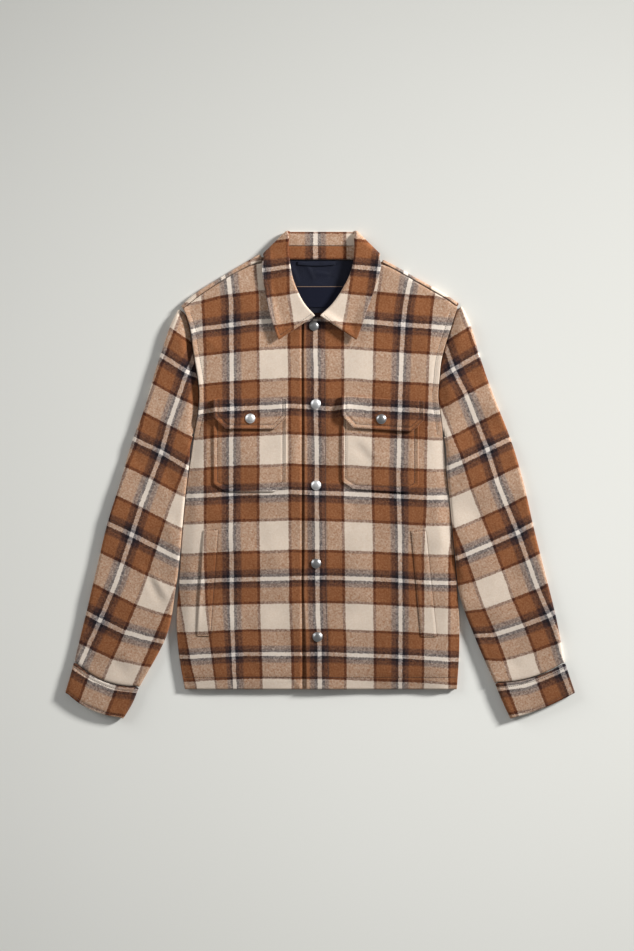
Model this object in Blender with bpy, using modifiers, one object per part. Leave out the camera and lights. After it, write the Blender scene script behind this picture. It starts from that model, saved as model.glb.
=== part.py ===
"""A plaid wool overshirt laid flat on a table, front up, sleeves a little out from the body.

X runs from the wearer's right to the wearer's left, Y from the hem to the collar, Z up from the table.
The origin lies on the table, under the middle of the garment. Sizes in this file are millimetres.
Every cloth piece is a wall built from its middle surface, with a small gap where two pieces are sewn.
"""

import math

import bpy
import numpy as np

MM = 0.001

# Cloth and layers
WALL = 3.0  # wool body cloth with its lining
COLLAR_WALL = 2.2
CUFF_WALL = 3.4  # two layers of wool, turned and pressed
GAP = 0.3  # clearance where pieces are sewn or lie on each other
SEAM_CLEAR = 1.5 * GAP  # the same, measured between two middle surfaces that meet at an angle
ARMHOLE_GAP = 0.7
BACK_MID = WALL / 2  # height of the middle of the back, which lies on the table
FRONT_MID = 8.0  # height of the middle of the fronts, held up by the folded sides
CUFF_MID = 8.3
SEAM_MID = WALL + GAP + WALL / 2  # a front pressed down onto the back
ARMHOLE_MID = 6.8
SLEEVE_DIP = 2.2  # how far a sleeve sinks beside the armhole
ARMHOLE_ROLL = 25.0  # distance over which a sleeve rises from the armhole
SIDE_ROLL = 22.0  # distance over which a front rises from its side seam
HEM_DROP = 1.6
HEM_ROLL = 30.0

# Lap of the fronts: the wearer's left front lies on the right one
HEM_Y = -354.0
LAP_DIP_START = -52.0
LAP_DIP_END = -30.0
LAP_END = 20.0

# Body sides and armholes. Columns: y, x on the wearer's right, x on the wearer's left.
BODY_SIDES = (
    (-356, -223, 226),
    (-289, -234, 230),
    (-241, -237, 230),
    (-179, -233, 226),
    (-82, -226, 217),
    (10, -216, 208),
    (43, -211, 205),
    (65, -208, 203),
    (102, -201, 198),
    (131, -199, 195),
    (158, -201, 197),
    (188, -206, 200),
    (212, -210, 206),
    (237, -213, 214),
    (256, -218, 220),
    (283, -229, 229),
)
UNDERARM_Y = 64.0
ARMHOLE_SEAM_START = UNDERARM_Y - 20  # a front's side seam rises to the armhole seam from here
ARMHOLE_SEAM_RISE = 40.0
SLEEVE_DIP_START = UNDERARM_Y + 16
SLEEVE_DIP_RISE = 50.0
BELOW_SHOULDER = 6.0  # a sleeve's end meets the armhole this far below the shoulder point
ABOVE_UNDERARM = 9.0

# Shoulder outlines, from the armhole to the collar. The back rolls over the shoulder and ends at
# the seam, the given distance forward of the outline. Columns: x, y, forward.
SHOULDER_RIGHT = (
    (-230, 279, 6.0),
    (-206, 300, 7.0),
    (-186, 313, 6.5),
    (-145, 338, 6.0),
    (-120, 353, 8.5),
    (-99, 365, 13.0),
)
SHOULDER_LEFT = (
    (230, 283, 5.2),
    (214, 294, 5.2),
    (180, 314, 5.2),
    (153, 329, 5.2),
    (134, 340, 5.2),
    (104, 356, 5.2),
)
NECK_CORNER = (83.5, 352.0)  # where shoulder seam and neck seam meet, from the collar's middle line
BACK_NECK_Y = 355.5
BACK_NECK_HALF = 86.0

# Rows of the fronts, hem to shoulder. The outer end is on the side or armhole at outer_y. Columns:
# outer_y, inner_x, inner_y, share of the shoulder seam's bend.
RIGHT_FRONT_ROWS = (
    (-354, 13.5, -354, 0.0),
    (-241, 12.0, -241, 0.0),
    (-120, 10.5, -120, 0.0),
    (10, 10.0, 10, 0.0),
    (65, 10.0, 65, 0.0),
    (131, 10.0, 131, 0.0),
    (190, 10.0, 195, 0.0),
    (214, 10.0, 230, 0.0),
    (226, 10.0, 256, 0.05),
)
LEFT_FRONT_ROWS = (
    (-354, -22.5, -354, 0.0),
    (-241, -25.0, -241, 0.0),
    (-195, -27.0, -195, 0.0),
    (-120, -26.0, -120, 0.0),
    (10, -26.0, 10, 0.0),
    (65, -26.0, 65, 0.0),
    (131, -26.5, 131, 0.0),
    (190, -27.0, 195, 0.0),
    (214, -27.0, 230, 0.0),
    (226, -27.0, 255.5, 0.05),
)
# The neck edge of both fronts. Columns: outer_y, half width from the collar's middle line, y, share.
NECK_ROWS = (
    (236, 15.8, 259.5, 0.1),
    (246, 46.8, 276.2, 0.25),
    (254, 65.9, 298.5, 0.4),
    (261, 77.2, 322.7, 0.6),
    (267, 81.6, 341.0, 0.8),
)

# Sleeves, cuff seam to armhole. Columns: outer x, outer y, inner x, inner y, bow towards the hand,
# share of the armhole's bend.
RIGHT_SLEEVE_ROWS = (
    (-406.0, -309, -298.5, -351, 11, 0.0),
    (-386.0, -227, -252.0, -262, 7, 0.0),
    (-369.0, -155, -238.5, -190, 3, 0.0),
    (-351.0, -79, -231.5, -136, 0, 0.0),
    (-330.0, -12, -224.0, -60, 0, 0.0),
    (-309.5, 58, -217.0, 8, 0, 0.0),
    (-290.0, 110, -215.5, 20, 0, 0.03),
    (-274.0, 165, -214.8, 34, 0, 0.12),
    (-259.0, 212, -214.0, 45, 0, 0.3),
    (-247.0, 247, -212.2, 54, 0, 0.6),
    (-234.0, 274, -209.0, 64, 0, 1.0),
)
LEFT_SLEEVE_ROWS = (
    (404.5, -310, 288.5, -344, 8, 0.0),
    (388.0, -226, 254.0, -264, 6, 0.0),
    (370.0, -155, 230.5, -200, 3, 0.0),
    (351.5, -80, 223.5, -140, 0, 0.0),
    (336.0, -12, 216.5, -70, 0, 0.0),
    (316.0, 56, 209.0, 8, 0, 0.0),
    (295.0, 110, 208.8, 20, 0, 0.03),
    (276.0, 160, 208.6, 34, 0, 0.12),
    (260.5, 208, 208.0, 44, 0, 0.3),
    (248.0, 249, 206.4, 53, 0, 0.6),
    (234.5, 279, 203.5, 63, 0, 1.0),
)
# Cuffs, open edge to cuff seam. Columns as for the sleeves.
RIGHT_CUFF_ROWS = (
    (-421.0, -360, -325.0, -403, 8.5, 0),
    (-413.5, -335, -310.0, -378, 9.5, 0),
    (-406.6, -309.6, -298.9, -351.6, 11, 0),
)
LEFT_CUFF_ROWS = (
    (421.5, -360, 314.5, -403, 3.5, 0),
    (413.0, -335, 301.0, -374, 6, 0),
    (405.1, -310.6, 288.9, -344.7, 8, 0),
)

# Collar, half of it, from the back middle round the neck to the front end. The band is the stand
# and the inner part of the leaf, and the fall is the part turned over. turn is -90 where the fall
# lies under the band, 90 where it lies on it, and between them round the side of the neck. Half
# widths are from the collar's middle line. Columns: neck half width, neck y, roll half width,
# roll y, edge half width, edge y, turn, share of the band that is stand.
COLLAR_STATIONS = (
    (0.0, 355.7, 0.0, 400.7, 0.0, 356.6, -90, 0.50),
    (30.0, 355.7, 27.0, 400.7, 31.0, 356.6, -90, 0.50),
    (60.0, 355.8, 43.0, 400.7, 62.0, 356.8, -90, 0.50),
    (77.0, 356.6, 50.5, 400.6, 88.0, 359.6, -90, 0.50),
    (78.8, 356.9, 52.2, 399.7, 90.0, 360.2, -45, 0.50),
    (79.8, 356.4, 53.2, 398.0, 91.6, 360.2, 0, 0.52),
    (80.4, 354.8, 53.9, 394.8, 93.4, 358.8, 45, 0.55),
    (80.7, 352.0, 54.5, 389.0, 95.3, 356.4, 90, 0.58),
    (80.6, 345.0, 55.2, 376.0, 98.0, 348.0, 90, 0.62),
    (78.2, 331.0, 53.4, 354.0, 96.6, 331.0, 90, 0.65),
    (74.0, 317.0, 50.0, 336.0, 92.5, 314.0, 90, 0.69),
    (65.0, 299.0, 42.8, 315.5, 86.5, 292.0, 90, 0.74),
    (46.0, 277.0, 26.0, 285.0, 75.5, 253.0, 90, 0.78),
    (12.0, 262.8, 4.5, 261.8, 64.0, 222.0, 90, 0.55),
)
ROLL_RADIUS = 2.1
BAND_SPREAD = 2.0  # half the height between the band's back and front layers
FALL_SPREAD = BAND_SPREAD + 2 * ROLL_RADIUS
COLLAR_MID = COLLAR_WALL / 2 + FALL_SPREAD  # height halfway between the layers
FALL_SINK = 2.0  # how far the fall sinks towards its edge, where it lies on the fronts
COLLAR_OUTWARD = (0.656, 0.756)  # from the neck corner, where the fall turns over the side
COLLAR_TOP_Y = 345.0  # above this the collar's middle line is straight
COLLAR_POINT_Y = 263.0  # where the V ends
COLLAR_TOP_X = 2.5
COLLAR_POINT_X = -4.0

# Where the rows of the back and the fronts lie, closer beside the armholes, and where the columns
# of a front and of a sleeve lie, from the side to the front edge and from outer to inner fold
BODY_ROWS = (0, 0.05, 0.12, 0.2, 0.28, 0.36, 0.44, 0.52, 0.6, 0.635, 0.665, 0.69, 0.715, 0.74)
BODY_ROWS += (0.77, 0.81, 0.86)
BACK_ROWS = BODY_ROWS + (0.9, 0.94, 0.97, 0.985, 1.0)
FRONT_ROWS = tuple(row / 0.86 for row in BODY_ROWS)
FRONT_COLUMNS = (0, 0.03, 0.06, 0.1, 0.2, 0.32, 0.44, 0.56, 0.66, 0.72, 0.76, 0.8, 0.83, 0.88, 1)
SLEEVE_COLUMNS = (0, 0.07, 0.15, 0.3, 0.45, 0.6, 0.72, 0.82, 0.91, 1)

# How finely each form is built
FINE_STEPS = 40  # along a curve that is only read from
SHOULDER_POINTS = 8
SHOULDER_COLUMNS = 9
BACK_NECK_COLUMNS = 7
SHOULDER_ROLL_STEPS = 6
NECK_EDGE_ROWS = 9
SLEEVE_RINGS = 17
CUFF_RINGS = 4
FOLD_STEPS = 5
COLLAR_HALF_ROWS = 27
STRIP_COLUMNS = 9
LINING_COLUMNS = 7
WELT_COLUMNS = 3
SNAP_STEPS = 16

# Lining and label inside the neck. Columns: y, half width.
LINING_ROWS = ((267.5, 14), (272, 32), (282, 46), (300, 58), (330, 62), (354.9, 64))
LINING_WALL = 1.0
LINING_MID = WALL + GAP + LINING_WALL / 2
LABEL_WALL = 0.8
LABEL_SIZE = (76.0, 36.0)
LABEL_CENTRE = (-0.5, 294.5)
LOOP_WALL = 1.2
LOOP_SIZE = (62.0, 6.0)
LOOP_CENTRE = (-6.0, 350.0)
LOOP_BOW = 2.0

# Chest pockets and flaps: top corner next to the sleeve on the right, next to the placket on the
# left. Columns: side, top left x, top left y, tilt in degrees, pocket width, flap width, flap depth.
CHEST_POCKETS = (
    ("right", -175.5, 125.5, 0.0, 121.0, 121.0, 50.0),
    ("left", 35.5, 130.5, -3.6, 127.0, 136.0, 52.0),
)
POCKET_DEPTH = 152.0
POCKET_BELOW_FLAP = 1.0
POCKET_CHAMFER = (20.0, 12.0)
FLAP_CHAMFER = (20.0, 20.0)
POCKET_WALL = 1.4
FLAP_WALL = 2.2

# Hand pocket welts. Columns: side, y, x nearer the side seam, x nearer the placket.
HAND_WELTS = (
    ("right", ((-266, -203.0, -180.0), (-90, -192.0, -167.0))),
    ("left", ((-267, 194.0, 166.0), (-91, 176.0, 150.0))),
)
WELT_WALL = 1.2

# Snaps, a domed steel cap on each. Columns: name, side of the front it is on, x, y, set in.
SNAP_RADIUS = 8.0
SNAP_RIM = 0.9
SNAP_HEIGHT = 2.9
SNAPS = (
    ("snap_1", "left", -10, 246, "placket"),
    ("snap_2", "left", -7, 117, "placket"),
    ("snap_3", "left", -6.5, -17, "placket"),
    ("snap_4", "left", -6.5, -146, "placket"),
    ("snap_5", "left", -4, -267, "placket"),
    ("flap_snap_right", "right", -115, 93, "flap"),
    ("flap_snap_left", "left", 101, 92, "flap"),
)

WOOL = (0.30, 0.16, 0.09)
WOOL_LIGHT = (0.55, 0.38, 0.26)
NAVY = (0.012, 0.018, 0.04)
STEEL = (0.55, 0.55, 0.56)


def smooth(share):
    """0 below 0, 1 above 1, and a soft S between."""
    share = np.clip(share, 0.0, 1.0)
    return share * share * (3.0 - 2.0 * share)


def spline(rows, at, even=True):
    """A smooth line through the rows of a table, read at a count of places or at given shares.

    The places lie evenly along the first two columns or, if not even, evenly from row to row.
    """
    rows = np.asarray(rows, float)
    at = np.linspace(0.0, 1.0, at) if isinstance(at, int) else np.asarray(at, float)
    if even:
        steps = np.linalg.norm(np.diff(rows[:, :2], axis=0), axis=1) + 1e-9
    else:
        steps = np.ones(len(rows) - 1)
    ends = np.concatenate([[0.0], np.cumsum(steps)])
    slopes = np.gradient(rows, ends, axis=0)
    where = at * ends[-1]
    low = np.clip(np.searchsorted(ends, where, side="right") - 1, 0, len(rows) - 2)
    span = (ends[low + 1] - ends[low])[:, None]
    part = (where - ends[low])[:, None] / span
    first = (1 + 2 * part) * (1 - part) ** 2 * rows[low]
    second = part * (1 - part) ** 2 * span * slopes[low]
    third = part**2 * (3 - 2 * part) * rows[low + 1]
    fourth = part**2 * (part - 1) * span * slopes[low + 1]
    return first + second + third + fourth


def sign_of(side):
    return -1.0 if side == "right" else 1.0


def side_x(side, y):
    """x of the body's side seam or armhole at a height y."""
    column = 1 if side == "right" else 2
    fine = spline([(row[0], row[column]) for row in BODY_SIDES], 4 * FINE_STEPS)
    return np.interp(y, fine[:, 0], fine[:, 1])


def collar_line_x(y):
    """x of the middle line of the collar, which leans where the fronts are lapped."""
    share = (np.asarray(y, float) - COLLAR_POINT_Y) / (COLLAR_TOP_Y - COLLAR_POINT_Y)
    return COLLAR_POINT_X + (COLLAR_TOP_X - COLLAR_POINT_X) * np.clip(share, 0.0, 1.0)


def front_mid(side, x, y):
    """Height of the middle of a front's wall at a place."""
    x = np.asarray(x, float)
    y = np.asarray(y, float)
    at_armhole = smooth((y - ARMHOLE_SEAM_START) / ARMHOLE_SEAM_RISE)
    edge = SEAM_MID + (ARMHOLE_MID - SEAM_MID) * at_armhole
    rise = smooth(np.abs(x - side_x(side, y)) / SIDE_ROLL)
    height = edge + (FRONT_MID - edge) * rise
    hem = 1 - smooth((y - HEM_Y) / HEM_ROLL)
    if side == "right":
        height = height - np.minimum(HEM_DROP * hem, height - SEAM_MID)
        lapped = smooth((x - LAP_DIP_START) / (LAP_DIP_END - LAP_DIP_START))
        return height + (SEAM_MID - height) * lapped
    clear_of_lap = smooth((x - LAP_END) / HEM_ROLL)
    height = height - np.minimum(HEM_DROP * hem * clear_of_lap, height - SEAM_MID)
    return np.maximum(height, (FRONT_MID + 0.1) * (x < LAP_END))


def inward(points):
    """Unit normals of a shoulder outline, towards the body."""
    along = np.gradient(points[:, :2], axis=0)
    along /= np.linalg.norm(along, axis=1)[:, None]
    normals = np.stack([along[:, 1], -along[:, 0]], axis=1)
    return np.where(normals[:, 1:] > 0, -normals, normals)


def shoulder(side, count):
    """Outline points, their inward normals and the seam's distance from them."""
    table = SHOULDER_RIGHT if side == "right" else SHOULDER_LEFT
    fine = spline(table, count)
    return fine[:, :2], inward(fine), fine[:, 2:]


def shoulder_seam(side, at):
    """The front's shoulder edge, from the armhole to the neck."""
    outline, normals, forward = shoulder(side, SHOULDER_POINTS)
    seam = outline + normals * (forward + SEAM_CLEAR)
    corner_x = collar_line_x(NECK_CORNER[1]) + sign_of(side) * NECK_CORNER[0]
    return spline(np.vstack([seam[:-1], [corner_x, NECK_CORNER[1]]]), at)


def rows_between(outer, inner, bow, share, end_curve, at):
    """Rows of plan points from outer to inner, each bowed and bent a share of the end curve's way."""
    across = np.asarray(at, float)[None, :, None]
    straight = outer[:, None, :] * (1 - across) + inner[:, None, :] * across
    chord = inner - outer
    chord = chord / np.linalg.norm(chord, axis=1)[:, None]
    down = np.stack([chord[:, 1], -chord[:, 0]], axis=1)
    down = np.where(down[:, 1:] > 0, -down, down)
    bowed = (bow[:, None] * down)[:, None, :] * (4 * across * (1 - across))
    end_straight = end_curve[:1] * (1 - across[0]) + end_curve[-1:] * across[0]
    bend = (end_curve - end_straight)[None, :, :] * share[:, None, None]
    return straight + bowed + bend


def front_plan(side, at):
    """Plan points of a front, hem to shoulder and side to placket."""
    table = RIGHT_FRONT_ROWS if side == "right" else LEFT_FRONT_ROWS
    seam = shoulder_seam(side, at)
    neck = []
    for outer_y, half, y, share in NECK_ROWS:
        neck.append((outer_y, collar_line_x(y) + sign_of(side) * half, y, share))
    last = (seam[0, 1], seam[-1, 0], seam[-1, 1], 1.0)
    lower = spline([(row[1], row[2], row[0], row[3]) for row in table], FRONT_ROWS)
    upper = [table[-1]] + neck + [last]
    upper = spline([(row[1], row[2], row[0], row[3]) for row in upper], NECK_EDGE_ROWS)
    fine = np.vstack([lower, upper[1:]])
    outer_y = fine[:, 2]
    outer = np.stack([side_x(side, outer_y), outer_y], axis=1)
    outer[-1] = seam[0]
    no_bow = np.zeros(len(fine))
    return rows_between(outer, fine[:, :2], no_bow, fine[:, 3], seam, at)


def front_surface(side, at):
    plan = front_plan(side, at)
    height = front_mid(side, plan[..., 0], plan[..., 1])
    return np.dstack([plan, height])


def back_surface():
    """The flat part of the back, hem to the foot of the shoulder rolls, as a Coons patch."""
    top = []
    for side in ("right", "left"):
        outline, normals, _ = shoulder(side, SHOULDER_COLUMNS)
        foot = outline + normals * (WALL + FRONT_MID - BACK_MID) / 2
        top.append(foot if side == "right" else foot[::-1])
    neck_x = np.linspace(-BACK_NECK_HALF, BACK_NECK_HALF, BACK_NECK_COLUMNS) + COLLAR_TOP_X
    neck = np.column_stack([neck_x, np.full(BACK_NECK_COLUMNS, BACK_NECK_Y)])
    top = np.vstack([top[0], neck, top[1]])
    share_up = np.array(BACK_ROWS)
    left_y = HEM_Y + (top[0, 1] - HEM_Y) * share_up
    right_y = HEM_Y + (top[-1, 1] - HEM_Y) * share_up
    left = np.stack([side_x("right", left_y), left_y], axis=1)
    right = np.stack([side_x("left", right_y), right_y], axis=1)
    left[-1] = top[0]
    right[-1] = top[-1]
    across = (top[:, 0] - top[0, 0]) / (top[-1, 0] - top[0, 0])
    bottom = left[0] * (1 - across[:, None]) + right[0] * across[:, None]
    u = across[None, :, None]
    v = share_up[:, None, None]
    edges = (1 - v) * bottom[None] + v * top[None] + (1 - u) * left[:, None] + u * right[:, None]
    corners = (1 - u) * (1 - v) * bottom[0] + u * (1 - v) * bottom[-1]
    corners = corners + (1 - u) * v * top[0] + u * v * top[-1]
    plan = edges - corners
    return np.dstack([plan, np.full(plan.shape[:2], BACK_MID)])


def shoulder_roll(side):
    """Rows of the back rolled up over a shoulder and forward to the seam, after its foot."""
    outline, normals, forward = shoulder(side, SHOULDER_COLUMNS)
    radius = (FRONT_MID - BACK_MID) / 2
    rows = []
    for angle in np.linspace(-90, 90, SHOULDER_ROLL_STEPS)[1:]:
        inset = WALL / 2 + radius * (1 - math.cos(math.radians(angle)))
        height = BACK_MID + radius * (1 + math.sin(math.radians(angle)))
        level = np.full(SHOULDER_COLUMNS, height)
        rows.append(np.column_stack([outline + normals * inset, level]))
    level = np.full(SHOULDER_COLUMNS, FRONT_MID)
    rows.append(np.column_stack([outline + normals * forward, level]))
    rows = np.array(rows)
    return rows if side == "right" else rows[:, ::-1]


def sleeve_top(side, x, y):
    """Height of the middle of a sleeve's upper wall, which sinks beside the armhole."""
    away = smooth(np.abs(x - side_x(side, y)) / ARMHOLE_ROLL)
    beside = smooth((y - SLEEVE_DIP_START) / SLEEVE_DIP_RISE)
    return FRONT_MID - SLEEVE_DIP * (1 - away) * beside


def clear_of_body(side, points):
    """Plan points moved out of the body where they would be in it."""
    sign = sign_of(side)
    limit = side_x(side, points[:, 1]) * sign + ARMHOLE_GAP
    x = np.maximum(points[:, 0] * sign, limit) * sign
    return np.column_stack([x, points[:, 1]])


def armhole_curve(side, start, end, at):
    """The sleeve's end beside the armhole, from the shoulder point to the underarm."""
    heights = np.linspace(start[1] - BELOW_SHOULDER, end[1] + ABOVE_UNDERARM, FINE_STEPS)
    x = side_x(side, heights) + sign_of(side) * ARMHOLE_GAP
    points = np.vstack([start, np.column_stack([x, heights]), end])
    return spline(points, at)


def outward_normals(path, other):
    """Unit normals of one edge of a tube, away from its other edge."""
    along = np.gradient(path, axis=0)
    along /= np.linalg.norm(along, axis=1)[:, None]
    normals = np.stack([along[:, 1], -along[:, 0]], axis=1)
    wrong = ((path - other) * normals).sum(axis=1) < 0
    return np.where(wrong[:, None], -normals, normals)


def tube_rings(fine, top_of, wall, at, end_of=None):
    """Loops of a flattened tube: over the top from the outer fold to the inner, and back below.

    fine has columns outer x, outer y, inner x, inner y, bow and share. end_of gives the curve
    towards which the loops bend, from the last pair of fold centres.
    """
    low = wall / 2
    outer, inner = fine[:, :2], fine[:, 2:4]
    out_a = outward_normals(outer, inner)
    out_b = outward_normals(inner, outer)
    fold_a = (top_of(outer[:, 0], outer[:, 1]) - low) / 2
    fold_b = (top_of(inner[:, 0], inner[:, 1]) - low) / 2
    centre_a = outer - out_a * (low + fold_a)[:, None]
    centre_b = inner - out_b * (low + fold_b)[:, None]
    end_curve = np.zeros((len(at), 2)) if end_of is None else end_of(centre_a[-1], centre_b[-1], at)
    share = fine[:, 5] if end_of else np.zeros(len(fine))
    lines = rows_between(centre_a, centre_b, fine[:, 4], share, end_curve, at)
    turn = np.radians(np.linspace(-90, 90, FOLD_STEPS))[:, None]
    loops = []
    for k, line in enumerate(lines):
        near_a = centre_a[k] + out_a[k] * fold_a[k] * np.cos(turn)
        near_a = np.hstack([near_a, low + fold_a[k] * (1 + np.sin(turn))])
        near_b = centre_b[k] + out_b[k] * fold_b[k] * np.cos(-turn)
        near_b = np.hstack([near_b, low + fold_b[k] * (1 - np.sin(turn))])
        flat = line[1:-1]
        above = np.column_stack([flat, top_of(flat[:, 0], flat[:, 1])])
        below = np.column_stack([flat, np.full(len(flat), low)])[::-1]
        loops.append(np.vstack([near_a, above, near_b, below]))
    return loops


def sleeve_rings(side, at):
    fine = spline(RIGHT_SLEEVE_ROWS if side == "right" else LEFT_SLEEVE_ROWS, SLEEVE_RINGS)
    fine[:, 2:4] = clear_of_body(side, fine[:, 2:4])

    def end_of(start, end, at):
        return armhole_curve(side, start, end, at)

    return tube_rings(fine, lambda x, y: sleeve_top(side, x, y), WALL, at, end_of)


def cuff_rings(side, at):
    fine = spline(RIGHT_CUFF_ROWS if side == "right" else LEFT_CUFF_ROWS, CUFF_RINGS)
    return tube_rings(fine, lambda x, y: np.full_like(x, CUFF_MID), CUFF_WALL, at)


def collar_rows(part):
    """Rows of the stand or the leaf, from the wearer's right front end round to the left one."""
    fine = spline(COLLAR_STATIONS, COLLAR_HALF_ROWS, even=False)
    right = [collar_section(row, "right", part) for row in fine]
    left = [collar_section(row, "left", part) for row in fine]
    return right[:0:-1] + left


def at_offset(side, half, y, spread, turn):
    """A point moved out by spread, along the direction in which the collar turns over there."""
    angle = math.radians(turn)
    out = spread * math.cos(angle)
    x = collar_line_x(y) + sign_of(side) * (half + out * COLLAR_OUTWARD[0])
    return np.array([x, y + out * COLLAR_OUTWARD[1], COLLAR_MID + spread * math.sin(angle)])


def collar_section(row, side, part):
    """One section across the collar: the stand, or the leaf from its seam over the roll to its edge."""
    neck_half, neck_y, roll_half, roll_y, edge_half, edge_y, turn, stand_share = row
    turn = np.clip(turn, -90, 90)
    neck = at_offset(side, neck_half, neck_y, BAND_SPREAD, turn)
    band_end = at_offset(side, roll_half, roll_y, BAND_SPREAD, turn)
    seam = neck + (band_end - neck) * stand_share
    towards_seam = (neck - seam) / np.linalg.norm(neck - seam)
    if part == "stand":
        shares = np.linspace(0.0, 1.0, 4)[:, None]
        return neck * (1 - shares) + (seam + towards_seam * SEAM_CLEAR) * shares
    roll = at_offset(side, roll_half, roll_y, BAND_SPREAD + ROLL_RADIUS, turn)
    edge = at_offset(side, edge_half, edge_y, FALL_SPREAD, turn)
    edge[2] -= FALL_SINK * max(0.0, math.sin(math.radians(turn)))
    turned = (roll - band_end) / ROLL_RADIUS
    came = band_end - seam
    came /= np.linalg.norm(came)
    fall_start = roll + turned * ROLL_RADIUS
    left = edge - fall_start
    left /= np.linalg.norm(left)
    before = band_end - came * ROLL_RADIUS
    after = fall_start + left * ROLL_RADIUS
    points = [seam, (seam + before) / 2]
    for angle in np.radians((0, 30, 60)):
        points.append(roll + ROLL_RADIUS * (came * (math.sin(angle) - 1) - turned * math.cos(angle)))
    for angle in np.radians((0, 30, 60, 90)):
        points.append(roll + ROLL_RADIUS * (left * (1 - math.cos(angle)) + turned * math.sin(angle)))
    for share in (0.25, 0.5, 0.75, 1.0):
        points.append(after + (edge - after) * share)
    return np.array(points)


def on_front(side, plan, lift):
    """Plan points laid on a front, their middle at a height over its upper face."""
    height = front_mid(side, plan[..., 0], plan[..., 1]) + WALL / 2 + lift
    return np.dstack([plan, height])


def chamfered_plan(top_left, tilt, width, depth, chamfer):
    """Rows of a pocket or flap, bottom to top, with its two lower corners cut off.

    Its top and bottom are tilted, and its sides stay upright.
    """
    chamfer_x, chamfer_y = chamfer
    levels = [(-depth, chamfer_x), (-depth + chamfer_y, 0.0)]
    for share in np.linspace(0.2, 1.0, 5):
        levels.append((-(depth - chamfer_y) * (1 - share), 0.0))
    slope = math.tan(math.radians(tilt))
    rows = []
    for y, inset in levels:
        x = np.linspace(inset, width - inset, STRIP_COLUMNS)
        rows.append(np.column_stack([top_left[0] + x, top_left[1] + x * slope + y]))
    return np.array(rows)


def wool(name, colour, roughness, metallic):
    material = bpy.data.materials.new(name + "_material")
    material.use_nodes = True
    shader = material.node_tree.nodes["Principled BSDF"]
    shader.inputs["Base Color"].default_value = (*colour, 1.0)
    shader.inputs["Roughness"].default_value = roughness
    shader.inputs["Metallic"].default_value = metallic
    return material


def add_object(name, points, faces, colour, wall=0.0, roughness=0.9, metallic=0.0):
    """An object from a surface, given its wall by Solidify on both sides of that surface."""
    mesh = bpy.data.meshes.new(name)
    mesh.from_pydata([tuple(point * MM) for point in points], [], faces)
    piece = bpy.data.objects.new(name, mesh)
    bpy.data.collections["shacket"].objects.link(piece)
    piece.parent = bpy.data.objects["shacket_origin"]
    mesh.materials.append(wool(name, colour, roughness, metallic))
    mesh.shade_smooth()
    if wall:
        solid = piece.modifiers.new("wall", "SOLIDIFY")
        solid.thickness = wall * MM
        solid.offset = 0.0
        solid.use_quality_normals = True
    return piece


def sheet(name, rows, colour, wall, closed=False):
    """An open surface through rows of points. Where closed, each row is a loop."""
    rows = [np.asarray(row, float) for row in rows]
    columns = len(rows[0])
    faces = []
    for down in range(len(rows) - 1):
        for across in range(columns if closed else columns - 1):
            start = down * columns
            beside = (across + 1) % columns
            corner = (start + across, start + beside)
            faces.append((*corner, corner[1] + columns, corner[0] + columns))
    return add_object(name, np.vstack(rows), faces, colour, wall)


def add_back():
    flat = back_surface()
    rows, columns = flat.shape[:2]
    points = list(flat.reshape(-1, 3))
    faces = grid_faces(rows, columns)
    for side in ("right", "left"):
        first = (rows - 1) * columns
        if side == "left":
            first += columns - SHOULDER_COLUMNS
        below = list(range(first, first + SHOULDER_COLUMNS))
        for row in shoulder_roll(side):
            above = list(range(len(points), len(points) + SHOULDER_COLUMNS))
            points.extend(row)
            for k in range(SHOULDER_COLUMNS - 1):
                faces.append((below[k], below[k + 1], above[k + 1], above[k]))
            below = above
    add_object("back", np.array(points), faces, WOOL, WALL)


def grid_faces(rows, columns):
    faces = []
    for down in range(rows - 1):
        for across in range(columns - 1):
            corner = down * columns + across
            faces.append((corner, corner + 1, corner + columns + 1, corner + columns))
    return faces


def add_fronts():
    for side in ("right", "left"):
        rows = front_surface(side, FRONT_COLUMNS)
        sheet("front_" + side, rows, WOOL_LIGHT, WALL)


def add_sleeves():
    for side in ("right", "left"):
        rings = sleeve_rings(side, SLEEVE_COLUMNS)
        sheet("sleeve_" + side, rings, WOOL, WALL, closed=True)
        rings = cuff_rings(side, SLEEVE_COLUMNS)
        sheet("cuff_" + side, rings, WOOL_LIGHT, CUFF_WALL, closed=True)


def add_collar():
    sheet("collar_stand", collar_rows("stand"), WOOL, COLLAR_WALL)
    sheet("collar_leaf", collar_rows("leaf"), WOOL_LIGHT, COLLAR_WALL)


def add_neck():
    rows = []
    for y, half in LINING_ROWS:
        x = np.linspace(-half, half, LINING_COLUMNS) + collar_line_x(y)
        rows.append(np.column_stack([x, np.full_like(x, y), np.full_like(x, LINING_MID)]))
    sheet("neck_lining", rows, NAVY, LINING_WALL)
    on_lining = LINING_MID + LINING_WALL / 2 + GAP
    label = flat_strip(LABEL_CENTRE, LABEL_SIZE, 0.0, on_lining + LABEL_WALL / 2)
    sheet("neck_label", label, NAVY, LABEL_WALL)
    loop = flat_strip(LOOP_CENTRE, LOOP_SIZE, LOOP_BOW, on_lining + LOOP_WALL / 2)
    sheet("hanger_loop", loop, NAVY, LOOP_WALL)


def flat_strip(centre, size, bow, height):
    """Two rows of a flat strip, bowed down in its middle."""
    share = np.linspace(-1.0, 1.0, STRIP_COLUMNS)
    sag = bow * (share**2 - 1)
    rows = []
    for edge in (-0.5, 0.5):
        x = centre[0] + share * size[0] / 2
        y = centre[1] + edge * size[1] + sag
        rows.append(np.column_stack([x, y, np.full_like(x, height)]))
    return rows


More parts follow.
